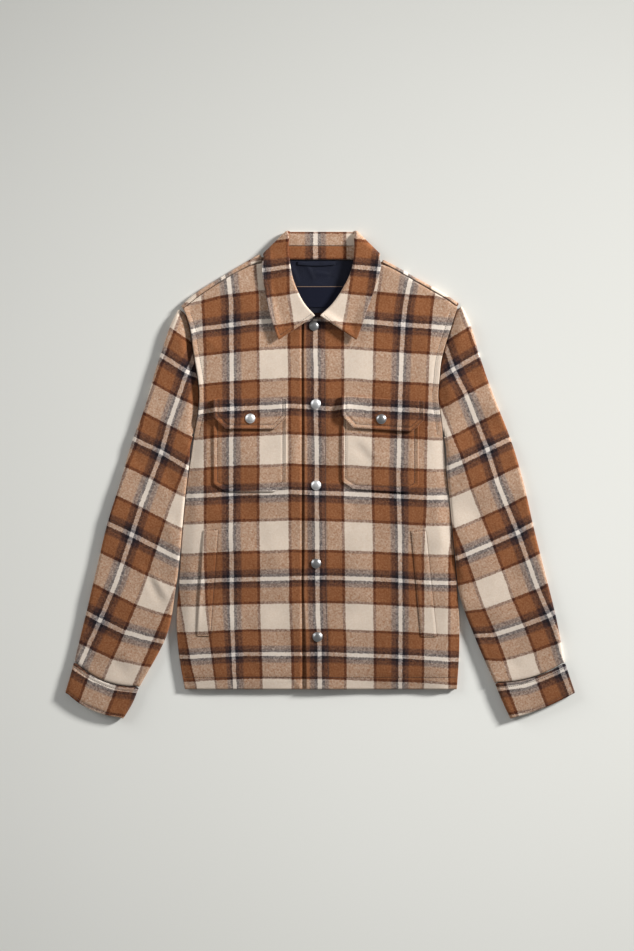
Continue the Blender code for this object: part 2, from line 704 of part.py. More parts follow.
def add_pockets():
    for side, x, y, tilt, pocket_width, flap_width, flap_depth in CHEST_POCKETS:
        start = (x, y - POCKET_BELOW_FLAP)
        plan = chamfered_plan(start, tilt, pocket_width, POCKET_DEPTH, POCKET_CHAMFER)
        pocket = on_front(side, plan, GAP + POCKET_WALL / 2)
        sheet("chest_pocket_" + side, pocket, WOOL, POCKET_WALL)
        plan = chamfered_plan((x, y), tilt, flap_width, flap_depth, FLAP_CHAMFER)
        lift = GAP + POCKET_WALL + GAP + FLAP_WALL / 2
        sheet("pocket_flap_" + side, on_front(side, plan, lift), WOOL_LIGHT, FLAP_WALL)


def add_welts():
    for side, ends in HAND_WELTS:
        rows = []
        for share in np.linspace(0.0, 1.0, STRIP_COLUMNS):
            y, outer, inner = np.array(ends[0]) * (1 - share) + np.array(ends[1]) * share
            x = np.linspace(outer, inner, WELT_COLUMNS)
            rows.append(np.column_stack([x, np.full_like(x, y)]))
        welt = on_front(side, np.array(rows), GAP + WELT_WALL / 2)
        sheet("hand_welt_" + side, welt, WOOL, WELT_WALL)


def add_snaps():
    """Domed caps, each turned round its own middle from half its outline."""
    for name, side, x, y, carrier in SNAPS:
        base = float(front_mid(side, x, y)) + WALL / 2 + GAP
        if carrier == "flap":
            base += GAP + POCKET_WALL + FLAP_WALL + GAP
        profile = [(0.0, SNAP_HEIGHT)]
        for angle in (66, 42, 18):
            reach = SNAP_RADIUS * math.cos(math.radians(angle))
            rise = (SNAP_HEIGHT - SNAP_RIM) * math.sin(math.radians(angle))
            profile.append((reach, SNAP_RIM + rise))
        profile += [(SNAP_RADIUS, SNAP_RIM), (SNAP_RADIUS, 0.0), (0.0, 0.0)]
        points = np.array([(reach, 0.0, height) for reach, height in profile])
        cap = add_object(name, points, [], STEEL, roughness=0.35, metallic=1.0)
        cap.data.edges.add(len(points) - 1)
        for k in range(len(points) - 1):
            cap.data.edges[k].vertices = (k, k + 1)
        cap.location = (x * MM, y * MM, base * MM)
        turned = cap.modifiers.new("turned", "SCREW")
        turned.steps = SNAP_STEPS
        turned.render_steps = SNAP_STEPS
        turned.use_merge_vertices = True
        turned.merge_threshold = 0.00005


def clear_scene():
    for piece in list(bpy.data.objects):
        bpy.data.objects.remove(piece, do_unlink=True)


def main():
    clear_scene()
    collection = bpy.data.collections.new("shacket")
    bpy.context.scene.collection.children.link(collection)
    origin = bpy.data.objects.new("shacket_origin", None)
    collection.objects.link(origin)
    add_back()
    add_fronts()
    add_sleeves()
    add_collar()
    add_neck()
    add_pockets()
    add_welts()
    add_snaps()


main()
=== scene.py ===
"""The plaid wool overshirt dressed for its photograph: cloth, stitches, snaps, light and camera.

X runs from the wearer's right to the wearer's left, Y from the hem to the collar, Z up from the table.
Forms are given in millimetres. Stripes of the plaid are given where they show in the photograph.
"""

import math

import bpy
import numpy as np
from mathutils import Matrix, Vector


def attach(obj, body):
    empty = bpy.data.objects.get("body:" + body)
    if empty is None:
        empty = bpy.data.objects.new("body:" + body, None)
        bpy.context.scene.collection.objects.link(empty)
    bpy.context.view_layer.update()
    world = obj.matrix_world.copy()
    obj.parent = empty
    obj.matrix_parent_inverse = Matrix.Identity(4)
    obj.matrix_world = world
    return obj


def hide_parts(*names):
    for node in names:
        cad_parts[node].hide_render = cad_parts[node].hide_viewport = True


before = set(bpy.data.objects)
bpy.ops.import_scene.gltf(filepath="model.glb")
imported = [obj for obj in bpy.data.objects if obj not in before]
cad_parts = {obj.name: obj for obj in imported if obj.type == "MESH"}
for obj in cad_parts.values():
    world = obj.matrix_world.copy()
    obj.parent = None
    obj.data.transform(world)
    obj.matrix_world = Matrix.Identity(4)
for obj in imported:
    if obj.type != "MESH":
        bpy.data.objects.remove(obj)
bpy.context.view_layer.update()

MM = 0.001
PIXEL = 1.65  # millimetres for each pixel of the photograph
MIDDLE = (320.0, 475.0)  # the pixel over the origin
PHOTO_SIZE = (634, 951)  # pixels across and down

# Cloth and layers
WALL = 3.0  # wool body cloth with its lining
COLLAR_WALL = 2.2
CUFF_WALL = 3.4  # two layers of wool, turned and pressed
GAP = 0.3  # clearance where pieces are sewn or lie on each other
SEAM_CLEAR = 1.5 * GAP  # the same, measured between two middle surfaces that meet at an angle
ARMHOLE_GAP = 0.7
BACK_MID = WALL / 2  # height of the middle of the back, which lies on the table
FRONT_MID = 8.0  # height of the middle of the fronts, held up by the folded sides
CUFF_MID = 8.3
SEAM_MID = WALL + GAP + WALL / 2  # a front pressed down onto the back
ARMHOLE_MID = 6.8
SLEEVE_DIP = 2.2  # how far a sleeve sinks beside the armhole
ARMHOLE_ROLL = 25.0  # distance over which a sleeve rises from the armhole
SIDE_ROLL = 22.0  # distance over which a front rises from its side seam
HEM_DROP = 1.6
HEM_ROLL = 30.0

# Lap of the fronts: the wearer's left front lies on the right one
HEM_Y = -354.0
LAP_DIP_START = -33.5
LAP_DIP_END = -27.5
LAP_END = 20.0

# Body sides and armholes. Columns: y, x on the wearer's right, x on the wearer's left.
BODY_SIDES = (
    (-356, -223, 226),
    (-289, -234, 230),
    (-241, -237, 230),
    (-179, -233, 226),
    (-82, -226, 217),
    (10, -216, 208),
    (43, -211, 205),
    (65, -208, 203),
    (102, -201, 198),
    (131, -199, 195),
    (158, -201, 197),
    (188, -206, 200),
    (212, -210, 206),
    (237, -213, 214),
    (256, -218, 220),
    (283, -229, 229),
)
UNDERARM_Y = 64.0
ARMHOLE_SEAM_START = UNDERARM_Y - 20  # a front's side seam rises to the armhole seam from here
ARMHOLE_SEAM_RISE = 40.0
SLEEVE_DIP_START = UNDERARM_Y + 16
SLEEVE_DIP_RISE = 50.0
BELOW_SHOULDER = 6.0  # a sleeve's end meets the armhole this far below the shoulder point
ABOVE_UNDERARM = 9.0

# Shoulder outlines, from the armhole to the collar. The back rolls over the shoulder and ends at
# the seam, the given distance forward of the outline. Columns: x, y, forward.
SHOULDER_RIGHT = (
    (-230, 279, 6.0),
    (-206, 300, 7.0),
    (-186, 313, 6.5),
    (-145, 338, 6.0),
    (-120, 353, 8.5),
    (-99, 365, 13.0),
)
SHOULDER_LEFT = (
    (230, 283, 5.2),
    (214, 294, 5.2),
    (180, 314, 5.2),
    (153, 329, 5.2),
    (134, 340, 5.2),
    (104, 356, 5.2),
)
NECK_CORNER = (83.5, 352.0)  # where shoulder seam and neck seam meet, from the collar's middle line
BACK_NECK_Y = 355.5
BACK_NECK_HALF = 86.0

# Rows of the fronts, hem to shoulder. The outer end is on the side or armhole at outer_y. Columns:
# outer_y, inner_x, inner_y, share of the shoulder seam's bend.
RIGHT_FRONT_ROWS = (
    (-354, 13.5, -354, 0.0),
    (-241, 12.0, -241, 0.0),
    (-120, 10.5, -120, 0.0),
    (10, 10.0, 10, 0.0),
    (65, 10.0, 65, 0.0),
    (131, 10.0, 131, 0.0),
    (190, 10.0, 195, 0.0),
    (214, 10.0, 230, 0.0),
    (226, 10.0, 256, 0.05),
)
LEFT_FRONT_ROWS = (
    (-354, -22.5, -354, 0.0),
    (-241, -25.0, -241, 0.0),
    (-195, -27.0, -195, 0.0),
    (-120, -26.0, -120, 0.0),
    (10, -26.0, 10, 0.0),
    (65, -26.0, 65, 0.0),
    (131, -26.5, 131, 0.0),
    (190, -27.0, 195, 0.0),
    (214, -27.0, 230, 0.0),
    (226, -27.0, 255.5, 0.05),
)
# The neck edge of both fronts. Columns: outer_y, half width from the collar's middle line, y, share.
NECK_ROWS = (
    (236, 15.8, 259.5, 0.1),
    (246, 46.8, 276.2, 0.25),
    (254, 65.9, 298.5, 0.4),
    (261, 77.2, 322.7, 0.6),
    (267, 81.6, 341.0, 0.8),
)

# Sleeves, cuff seam to armhole. Columns: outer x, outer y, inner x, inner y, bow towards the hand,
# share of the armhole's bend.
RIGHT_SLEEVE_ROWS = (
    (-406.0, -309, -298.5, -351, 11, 0.0),
    (-386.0, -227, -252.0, -262, 7, 0.0),
    (-369.0, -155, -238.5, -190, 3, 0.0),
    (-351.0, -79, -231.5, -136, 0, 0.0),
    (-330.0, -12, -224.0, -60, 0, 0.0),
    (-309.5, 58, -217.0, 8, 0, 0.0),
    (-290.0, 110, -215.5, 20, 0, 0.03),
    (-274.0, 165, -214.8, 34, 0, 0.12),
    (-259.0, 212, -214.0, 45, 0, 0.3),
    (-247.0, 247, -212.2, 54, 0, 0.6),
    (-234.0, 274, -209.0, 64, 0, 1.0),
)
LEFT_SLEEVE_ROWS = (
    (404.5, -310, 288.5, -344, 8, 0.0),
    (388.0, -226, 254.0, -264, 6, 0.0),
    (370.0, -155, 230.5, -200, 3, 0.0),
    (351.5, -80, 223.5, -140, 0, 0.0),
    (336.0, -12, 216.5, -70, 0, 0.0),
    (316.0, 56, 209.0, 8, 0, 0.0),
    (295.0, 110, 208.8, 20, 0, 0.03),
    (276.0, 160, 208.6, 34, 0, 0.12),
    (260.5, 208, 208.0, 44, 0, 0.3),
    (248.0, 249, 206.4, 53, 0, 0.6),
    (234.5, 279, 203.5, 63, 0, 1.0),
)
# Cuffs, open edge to cuff seam. Columns as for the sleeves.
RIGHT_CUFF_ROWS = (
    (-421.0, -360, -325.0, -403, 8.5, 0),
    (-413.5, -335, -310.0, -378, 9.5, 0),
    (-406.6, -309.6, -298.9, -351.6, 11, 0),
)
LEFT_CUFF_ROWS = (
    (421.5, -360, 314.5, -403, 3.5, 0),
    (413.0, -335, 301.0, -374, 6, 0),
    (405.1, -310.6, 288.9, -344.7, 8, 0),
)

# Collar, half of it, from the back middle round the neck to the front end. The band is the stand
# and the inner part of the leaf, and the fall is the part turned over. turn is -90 where the fall
# lies under the band, 90 where it lies on it, and between them round the side of the neck. Half
# widths are from the collar's middle line. Columns: neck half width, neck y, roll half width,
# roll y, edge half width, edge y, turn, share of the band that is stand.
COLLAR_STATIONS = (
    (0.0, 355.7, 0.0, 400.7, 0.0, 356.6, -90, 0.50),
    (30.0, 355.7, 27.0, 400.7, 31.0, 356.6, -90, 0.50),
    (60.0, 355.8, 43.0, 400.7, 62.0, 356.8, -90, 0.50),
    (77.0, 356.6, 50.5, 400.6, 88.0, 359.6, -90, 0.50),
    (78.8, 356.9, 52.2, 399.7, 90.0, 360.2, -45, 0.50),
    (79.8, 356.4, 53.2, 398.0, 91.6, 360.2, 0, 0.52),
    (80.4, 354.8, 53.9, 394.8, 93.4, 358.8, 45, 0.55),
    (80.7, 352.0, 54.5, 389.0, 95.3, 356.4, 90, 0.58),
    (80.6, 345.0, 55.2, 376.0, 98.0, 348.0, 90, 0.62),
    (78.2, 331.0, 53.4, 354.0, 96.6, 331.0, 90, 0.65),
    (74.0, 317.0, 50.0, 336.0, 92.5, 314.0, 90, 0.69),
    (65.0, 299.0, 42.8, 315.5, 86.5, 292.0, 90, 0.74),
    (46.0, 277.0, 26.0, 285.0, 75.5, 253.0, 90, 0.78),
    (12.0, 262.8, 4.5, 261.8, 64.0, 222.0, 90, 0.55),
)
ROLL_RADIUS = 2.1
BAND_SPREAD = 2.0  # half the height between the band's back and front layers
FALL_SPREAD = BAND_SPREAD + 2 * ROLL_RADIUS
COLLAR_MID = COLLAR_WALL / 2 + FALL_SPREAD  # height halfway between the layers
FALL_SINK = 2.0  # how far the fall sinks towards its edge, where it lies on the fronts
COLLAR_OUTWARD = (0.656, 0.756)  # from the neck corner, where the fall turns over the side
COLLAR_TOP_Y = 345.0  # above this the collar's middle line is straight
COLLAR_POINT_Y = 263.0  # where the V ends
COLLAR_TOP_X = 2.5
COLLAR_POINT_X = -4.0

# Lining and label inside the neck. Columns: y, half width.
LINING_ROWS = ((267.5, 14), (272, 32), (282, 46), (300, 58), (330, 62), (354.9, 64))
LINING_WALL = 1.0
LINING_MID = WALL + GAP + LINING_WALL / 2
LABEL_WALL = 0.8
LABEL_SIZE = (76.0, 36.0)
LABEL_CENTRE = (-0.5, 294.5)
LOOP_WALL = 1.2
LOOP_SIZE = (62.0, 6.0)
LOOP_CENTRE = (-6.0, 350.0)
LOOP_BOW = 2.0

# Chest pockets and flaps: top corner next to the sleeve on the right, next to the placket on the
# left. Columns: side, top left x, top left y, tilt in degrees, pocket width, flap width, flap depth.
CHEST_POCKETS = (
    ("right", -175.5, 125.5, 0.0, 121.0, 121.0, 50.0),
    ("left", 35.5, 130.5, -3.6, 127.0, 136.0, 52.0),
)
POCKET_DEPTH = 152.0
POCKET_BELOW_FLAP = 1.0
POCKET_CHAMFER = (20.0, 12.0)
FLAP_CHAMFER = (20.0, 20.0)
POCKET_WALL = 1.4
FLAP_WALL = 2.2

# Hand pocket welts. Columns: side, y, x nearer the side seam, x nearer the placket.
HAND_WELTS = (
    ("right", ((-266, -203.0, -180.0), (-90, -192.0, -167.0))),
    ("left", ((-267, 194.0, 166.0), (-91, 176.0, 150.0))),
)
WELT_WALL = 1.2

# Snaps, a domed steel cap on each. Columns: name, side of the front it is on, x, y, set in.
SNAPS = (
    ("snap_1", "left", -10, 246, "placket"),
    ("snap_2", "left", -7, 117, "placket"),
    ("snap_3", "left", -6.5, -17, "placket"),
    ("snap_4", "left", -6.5, -146, "placket"),
    ("snap_5", "left", -4, -267, "placket"),
    ("flap_snap_right", "right", -115, 93, "flap"),
    ("flap_snap_left", "left", 101, 92, "flap"),
)

# How finely each form is built
FINE_STEPS = 60  # along a curve that is only read from
SHOULDER_POINTS = 8
SHOULDER_COLUMNS = 22
BACK_NECK_COLUMNS = 24
SHOULDER_ROLL_STEPS = 12
NECK_EDGE_ROWS = 22
SLEEVE_RINGS = 90
CUFF_RINGS = 16
FOLD_STEPS = 9
COLLAR_HALF_ROWS = 70
EDGE_SHARES = (0.0, 0.006, 0.014, 0.026)  # closer rows and columns beside an edge


def shares(count):
    """Shares from 0 to 1, closer at both ends."""
    inner = np.linspace(EDGE_SHARES[-1], 1 - EDGE_SHARES[-1], count)
    ends = np.array(EDGE_SHARES[:-1])
    return np.concatenate([ends, inner, 1 - ends[::-1]])


BACK_ROWS = shares(84)
FRONT_ROWS = shares(92)
FRONT_COLUMNS = shares(38)
LAP_COLUMNS = np.linspace(0.795, 0.86, 10)  # more of the right front's columns beside the lap
SLEEVE_COLUMNS = np.linspace(0.0, 1.0, 26)
FALL_SHARES = (0.08, 0.2, 0.32, 0.44, 0.56, 0.68, 0.79, 0.88, 0.95, 0.985, 1.0)


def smooth(share):
    """0 below 0, 1 above 1, and a soft S between."""
    share = np.clip(share, 0.0, 1.0)
    return share * share * (3.0 - 2.0 * share)


def spline(rows, at, even=True):
    """A smooth line through the rows of a table, read at a count of places or at given shares.

    The places lie evenly along the first two columns or, if not even, evenly from row to row.
    """
    rows = np.asarray(rows, float)
    at = np.linspace(0.0, 1.0, at) if isinstance(at, int) else np.asarray(at, float)
    if even:
        steps = np.linalg.norm(np.diff(rows[:, :2], axis=0), axis=1) + 1e-9
    else:
        steps = np.ones(len(rows) - 1)
    ends = np.concatenate([[0.0], np.cumsum(steps)])
    slopes = np.gradient(rows, ends, axis=0)
    where = at * ends[-1]
    low = np.clip(np.searchsorted(ends, where, side="right") - 1, 0, len(rows) - 2)
    span = (ends[low + 1] - ends[low])[:, None]
    part = (where - ends[low])[:, None] / span
    first = (1 + 2 * part) * (1 - part) ** 2 * rows[low]
    second = part * (1 - part) ** 2 * span * slopes[low]
    third = part**2 * (3 - 2 * part) * rows[low + 1]
    fourth = part**2 * (part - 1) * span * slopes[low + 1]
    return first + second + third + fourth


def sign_of(side):
    return -1.0 if side == "right" else 1.0


def side_x(side, y):
    """x of the body's side seam or armhole at a height y."""
    column = 1 if side == "right" else 2
    fine = spline([(row[0], row[column]) for row in BODY_SIDES], 4 * FINE_STEPS)
    return np.interp(y, fine[:, 0], fine[:, 1])


def collar_line_x(y):
    """x of the middle line of the collar, which leans where the fronts are lapped."""
    share = (np.asarray(y, float) - COLLAR_POINT_Y) / (COLLAR_TOP_Y - COLLAR_POINT_Y)
    return COLLAR_POINT_X + (COLLAR_TOP_X - COLLAR_POINT_X) * np.clip(share, 0.0, 1.0)


def front_mid(side, x, y):
    """Height of the middle of a front's wall at a place."""
    x = np.asarray(x, float)
    y = np.asarray(y, float)
    at_armhole = smooth((y - ARMHOLE_SEAM_START) / ARMHOLE_SEAM_RISE)
    edge = SEAM_MID + (ARMHOLE_MID - SEAM_MID) * at_armhole
    rise = smooth(np.abs(x - side_x(side, y)) / SIDE_ROLL)
    height = edge + (FRONT_MID - edge) * rise
    hem = 1 - smooth((y - HEM_Y) / HEM_ROLL)
    if side == "right":
        height = height - np.minimum(HEM_DROP * hem, height - SEAM_MID)
        lapped = smooth((x - LAP_DIP_START) / (LAP_DIP_END - LAP_DIP_START))
        return height + (SEAM_MID - height) * lapped
    clear_of_lap = smooth((x - LAP_END) / HEM_ROLL)
    height = height - np.minimum(HEM_DROP * hem * clear_of_lap, height - SEAM_MID)
    return np.maximum(height, (FRONT_MID + 0.1) * (x < LAP_END))


def inward(points):
    """Unit normals of a shoulder outline, towards the body."""
    along = np.gradient(points[:, :2], axis=0)
    along /= np.linalg.norm(along, axis=1)[:, None]
    normals = np.stack([along[:, 1], -along[:, 0]], axis=1)
    return np.where(normals[:, 1:] > 0, -normals, normals)


def shoulder(side, count):
    """Outline points, their inward normals and the seam's distance from them."""
    table = SHOULDER_RIGHT if side == "right" else SHOULDER_LEFT
    fine = spline(table, count)
    return fine[:, :2], inward(fine), fine[:, 2:]


def shoulder_seam(side, at):
    """The front's shoulder edge, from the armhole to the neck."""
    outline, normals, forward = shoulder(side, SHOULDER_POINTS)
    seam = outline + normals * (forward + SEAM_CLEAR)
    corner_x = collar_line_x(NECK_CORNER[1]) + sign_of(side) * NECK_CORNER[0]
    return spline(np.vstack([seam[:-1], [corner_x, NECK_CORNER[1]]]), at)


def rows_between(outer, inner, bow, share, end_curve, at):
    """Rows of plan points from outer to inner, each bowed and bent a share of the end curve's way."""
    across = np.asarray(at, float)[None, :, None]
    straight = outer[:, None, :] * (1 - across) + inner[:, None, :] * across
    chord = inner - outer
    chord = chord / np.linalg.norm(chord, axis=1)[:, None]
    down = np.stack([chord[:, 1], -chord[:, 0]], axis=1)
    down = np.where(down[:, 1:] > 0, -down, down)
    bowed = (bow[:, None] * down)[:, None, :] * (4 * across * (1 - across))
    end_straight = end_curve[:1] * (1 - across[0]) + end_curve[-1:] * across[0]
    bend = (end_curve - end_straight)[None, :, :] * share[:, None, None]
    return straight + bowed + bend


def front_plan(side, at):
    """Plan points of a front, hem to shoulder and side to placket."""
    table = RIGHT_FRONT_ROWS if side == "right" else LEFT_FRONT_ROWS
    seam = shoulder_seam(side, at)
    neck = []
    for outer_y, half, y, share in NECK_ROWS:
        neck.append((outer_y, collar_line_x(y) + sign_of(side) * half, y, share))
    last = (seam[0, 1], seam[-1, 0], seam[-1, 1], 1.0)
    lower = spline([(row[1], row[2], row[0], row[3]) for row in table], FRONT_ROWS)
    upper = [table[-1]] + neck + [last]
    upper = spline([(row[1], row[2], row[0], row[3]) for row in upper], NECK_EDGE_ROWS)
    fine = np.vstack([lower, upper[1:]])
    outer_y = fine[:, 2]
    outer = np.stack([side_x(side, outer_y), outer_y], axis=1)
    outer[-1] = seam[0]
    no_bow = np.zeros(len(fine))
    return rows_between(outer, fine[:, :2], no_bow, fine[:, 3], seam, at)


def front_surface(side, at):
    plan = front_plan(side, at)
    height = front_mid(side, plan[..., 0], plan[..., 1])
    return np.dstack([plan, height])


def back_surface():
    """The flat part of the back, hem to the foot of the shoulder rolls, as a Coons patch."""
    top = []
    for side in ("right", "left"):
        outline, normals, _ = shoulder(side, SHOULDER_COLUMNS)
        foot = outline + normals * (WALL + FRONT_MID - BACK_MID) / 2
        top.append(foot if side == "right" else foot[::-1])
    neck_x = np.linspace(-BACK_NECK_HALF, BACK_NECK_HALF, BACK_NECK_COLUMNS) + COLLAR_TOP_X
    neck = np.column_stack([neck_x, np.full(BACK_NECK_COLUMNS, BACK_NECK_Y)])
    top = np.vstack([top[0], neck, top[1]])
    share_up = np.array(BACK_ROWS)
    left_y = HEM_Y + (top[0, 1] - HEM_Y) * share_up
    right_y = HEM_Y + (top[-1, 1] - HEM_Y) * share_up
    left = np.stack([side_x("right", left_y), left_y], axis=1)
    right = np.stack([side_x("left", right_y), right_y], axis=1)
    left[-1] = top[0]
    right[-1] = top[-1]
    across = (top[:, 0] - top[0, 0]) / (top[-1, 0] - top[0, 0])
    bottom = left[0] * (1 - across[:, None]) + right[0] * across[:, None]
    u = across[None, :, None]
    v = share_up[:, None, None]
    edges = (1 - v) * bottom[None] + v * top[None] + (1 - u) * left[:, None] + u * right[:, None]
    corners = (1 - u) * (1 - v) * bottom[0] + u * (1 - v) * bottom[-1]
    corners = corners + (1 - u) * v * top[0] + u * v * top[-1]
    plan = edges - corners
    return np.dstack([plan, np.full(plan.shape[:2], BACK_MID)])


def shoulder_roll(side):
    """Rows of the back rolled up over a shoulder and forward to the seam, after its foot."""
    outline, normals, forward = shoulder(side, SHOULDER_COLUMNS)
    radius = (FRONT_MID - BACK_MID) / 2
    rows = []
    for angle in np.linspace(-90, 90, SHOULDER_ROLL_STEPS)[1:]:
        inset = WALL / 2 + radius * (1 - math.cos(math.radians(angle)))
        height = BACK_MID + radius * (1 + math.sin(math.radians(angle)))
        level = np.full(SHOULDER_COLUMNS, height)
        rows.append(np.column_stack([outline + normals * inset, level]))
    level = np.full(SHOULDER_COLUMNS, FRONT_MID)
    rows.append(np.column_stack([outline + normals * forward, level]))
    rows = np.array(rows)
    return rows if side == "right" else rows[:, ::-1]


def sleeve_top(side, x, y):
    """Height of the middle of a sleeve's upper wall, which sinks beside the armhole."""
    away = smooth(np.abs(x - side_x(side, y)) / ARMHOLE_ROLL)
    beside = smooth((y - SLEEVE_DIP_START) / SLEEVE_DIP_RISE)
    return FRONT_MID - SLEEVE_DIP * (1 - away) * beside


def clear_of_body(side, points):
    """Plan points moved out of the body where they would be in it."""
    sign = sign_of(side)
    limit = side_x(side, points[:, 1]) * sign + ARMHOLE_GAP
    x = np.maximum(points[:, 0] * sign, limit) * sign
    return np.column_stack([x, points[:, 1]])


def armhole_curve(side, start, end, at):
    """The sleeve's end beside the armhole, from the shoulder point to the underarm."""
    heights = np.linspace(start[1] - BELOW_SHOULDER, end[1] + ABOVE_UNDERARM, FINE_STEPS)
    x = side_x(side, heights) + sign_of(side) * ARMHOLE_GAP
    points = np.vstack([start, np.column_stack([x, heights]), end])
    return spline(points, at)


def outward_normals(path, other):
    """Unit normals of one edge of a tube, away from its other edge."""
    along = np.gradient(path, axis=0)
    along /= np.linalg.norm(along, axis=1)[:, None]
    normals = np.stack([along[:, 1], -along[:, 0]], axis=1)
    wrong = ((path - other) * normals).sum(axis=1) < 0
    return np.where(wrong[:, None], -normals, normals)


def tube_rings(fine, top_of, wall, at, end_of=None):
    """Loops of a flattened tube: over the top from the outer fold to the inner, and back below.

    fine has columns outer x, outer y, inner x, inner y, bow and share. end_of gives the curve
    towards which the loops bend, from the last pair of fold centres.
    """
    low = wall / 2
    outer, inner = fine[:, :2], fine[:, 2:4]
    out_a = outward_normals(outer, inner)
    out_b = outward_normals(inner, outer)
    fold_a = (top_of(outer[:, 0], outer[:, 1]) - low) / 2
    fold_b = (top_of(inner[:, 0], inner[:, 1]) - low) / 2
    centre_a = outer - out_a * (low + fold_a)[:, None]
    centre_b = inner - out_b * (low + fold_b)[:, None]
    end_curve = np.zeros((len(at), 2)) if end_of is None else end_of(centre_a[-1], centre_b[-1], at)
    share = fine[:, 5] if end_of else np.zeros(len(fine))
    lines = rows_between(centre_a, centre_b, fine[:, 4], share, end_curve, at)
    turn = np.radians(np.linspace(-90, 90, FOLD_STEPS))[:, None]
    loops = []
    for k, line in enumerate(lines):
        near_a = centre_a[k] + out_a[k] * fold_a[k] * np.cos(turn)
        near_a = np.hstack([near_a, low + fold_a[k] * (1 + np.sin(turn))])
        near_b = centre_b[k] + out_b[k] * fold_b[k] * np.cos(-turn)
        near_b = np.hstack([near_b, low + fold_b[k] * (1 - np.sin(turn))])
        flat = line[1:-1]
        above = np.column_stack([flat, top_of(flat[:, 0], flat[:, 1])])
        below = np.column_stack([flat, np.full(len(flat), low)])[::-1]
        loops.append(np.vstack([near_a, above, near_b, below]))
    return loops


def sleeve_rings(side, at):
    fine = spline(RIGHT_SLEEVE_ROWS if side == "right" else LEFT_SLEEVE_ROWS, SLEEVE_RINGS)
    fine[:, 2:4] = clear_of_body(side, fine[:, 2:4])

    def end_of(start, end, at):
        return armhole_curve(side, start, end, at)

    return tube_rings(fine, lambda x, y: sleeve_top(side, x, y), WALL, at, end_of)


def cuff_rings(side, at):
    fine = spline(RIGHT_CUFF_ROWS if side == "right" else LEFT_CUFF_ROWS, CUFF_RINGS)
    return tube_rings(fine, lambda x, y: np.full_like(x, CUFF_MID), CUFF_WALL, at)


def collar_rows(part):
    """Rows of the stand or the leaf, from the wearer's right front end round to the left one."""
    fine = spline(COLLAR_STATIONS, COLLAR_HALF_ROWS, even=False)
    right = [collar_section(row, "right", part) for row in fine]
    left = [collar_section(row, "left", part) for row in fine]
    return right[:0:-1] + left


def at_offset(side, half, y, spread, turn):
    """A point moved out by spread, along the direction in which the collar turns over there."""
    angle = math.radians(turn)
    out = spread * math.cos(angle)
    x = collar_line_x(y) + sign_of(side) * (half + out * COLLAR_OUTWARD[0])
    return np.array([x, y + out * COLLAR_OUTWARD[1], COLLAR_MID + spread * math.sin(angle)])


def collar_section(row, side, part):
    """One section across the collar: the stand, or the leaf from its seam over the roll to its edge."""
    neck_half, neck_y, roll_half, roll_y, edge_half, edge_y, turn, stand_share = row
    turn = np.clip(turn, -90, 90)
    neck = at_offset(side, neck_half, neck_y, BAND_SPREAD, turn)
    band_end = at_offset(side, roll_half, roll_y, BAND_SPREAD, turn)
    seam = neck + (band_end - neck) * stand_share
    towards_seam = (neck - seam) / np.linalg.norm(neck - seam)
    if part == "stand":
        part_way = np.array((0.0, 0.06, 0.3, 0.6, 0.92, 1.0))[:, None]
        return neck * (1 - part_way) + (seam + towards_seam * SEAM_CLEAR) * part_way
    roll = at_offset(side, roll_half, roll_y, BAND_SPREAD + ROLL_RADIUS, turn)
    edge = at_offset(side, edge_half, edge_y, FALL_SPREAD, turn)
    edge[2] -= FALL_SINK * max(0.0, math.sin(math.radians(turn)))
    turned = (roll - band_end) / ROLL_RADIUS
    came = band_end - seam
    came /= np.linalg.norm(came)
    fall_start = roll + turned * ROLL_RADIUS
    left = edge - fall_start
    left /= np.linalg.norm(left)
    before = band_end - came * ROLL_RADIUS
    after = fall_start + left * ROLL_RADIUS
    points = [seam + (before - seam) * share for share in (0.0, 0.1, 0.4, 0.7)]
    for angle in np.radians((0, 22, 45, 68)):
        points.append(roll + ROLL_RADIUS * (came * (math.sin(angle) - 1) - turned * math.cos(angle)))
    for angle in np.radians((0, 22, 45, 68, 90)):
        points.append(roll + ROLL_RADIUS * (left * (1 - math.cos(angle)) + turned * math.sin(angle)))
    for share in FALL_SHARES:
        points.append(after + (edge - after) * share)
    return np.array(points)


def on_front(side, plan, lift):
    """Plan points laid on a front, their middle at a height over its upper face."""
    height = front_mid(side, plan[..., 0], plan[..., 1]) + WALL / 2 + lift
    return np.dstack([plan, height])


# The plaid. Warp and weft are the same: stripes from the middle of a white one to the middle of a
# cream one, which is half a repeat. Columns: yarn, where it starts and ends, in half repeats.
YARNS = {
    "white": (232, 222, 212),
    "dark": (24, 21, 30),
    "grey": (66, 44, 40),
    "brown": (141, 90, 58),
    "line": (74, 38, 24),
    "cream": (226, 208, 190),
}
SETT = (
    ("white", 0.0, 0.046),
    ("dark", 0.056, 0.112),
    ("grey", 0.13, 0.2),
    ("brown", 0.25, 0.588),
    ("line", 0.606, 0.654),
    ("cream", 0.672, 1.0),
)
REPEAT = 139.0
TWILL = 1.5  # width of one rib of the weave
SCREEN_GAMMA = 2.2
FIBRE_GAMMA = 2.0  # how far fibres vary it, which shows most in dark yarns
GRAIN_TURN = (0.5, 0.35, 0.6)  # of the yarns' fuzz, from the garment's axes

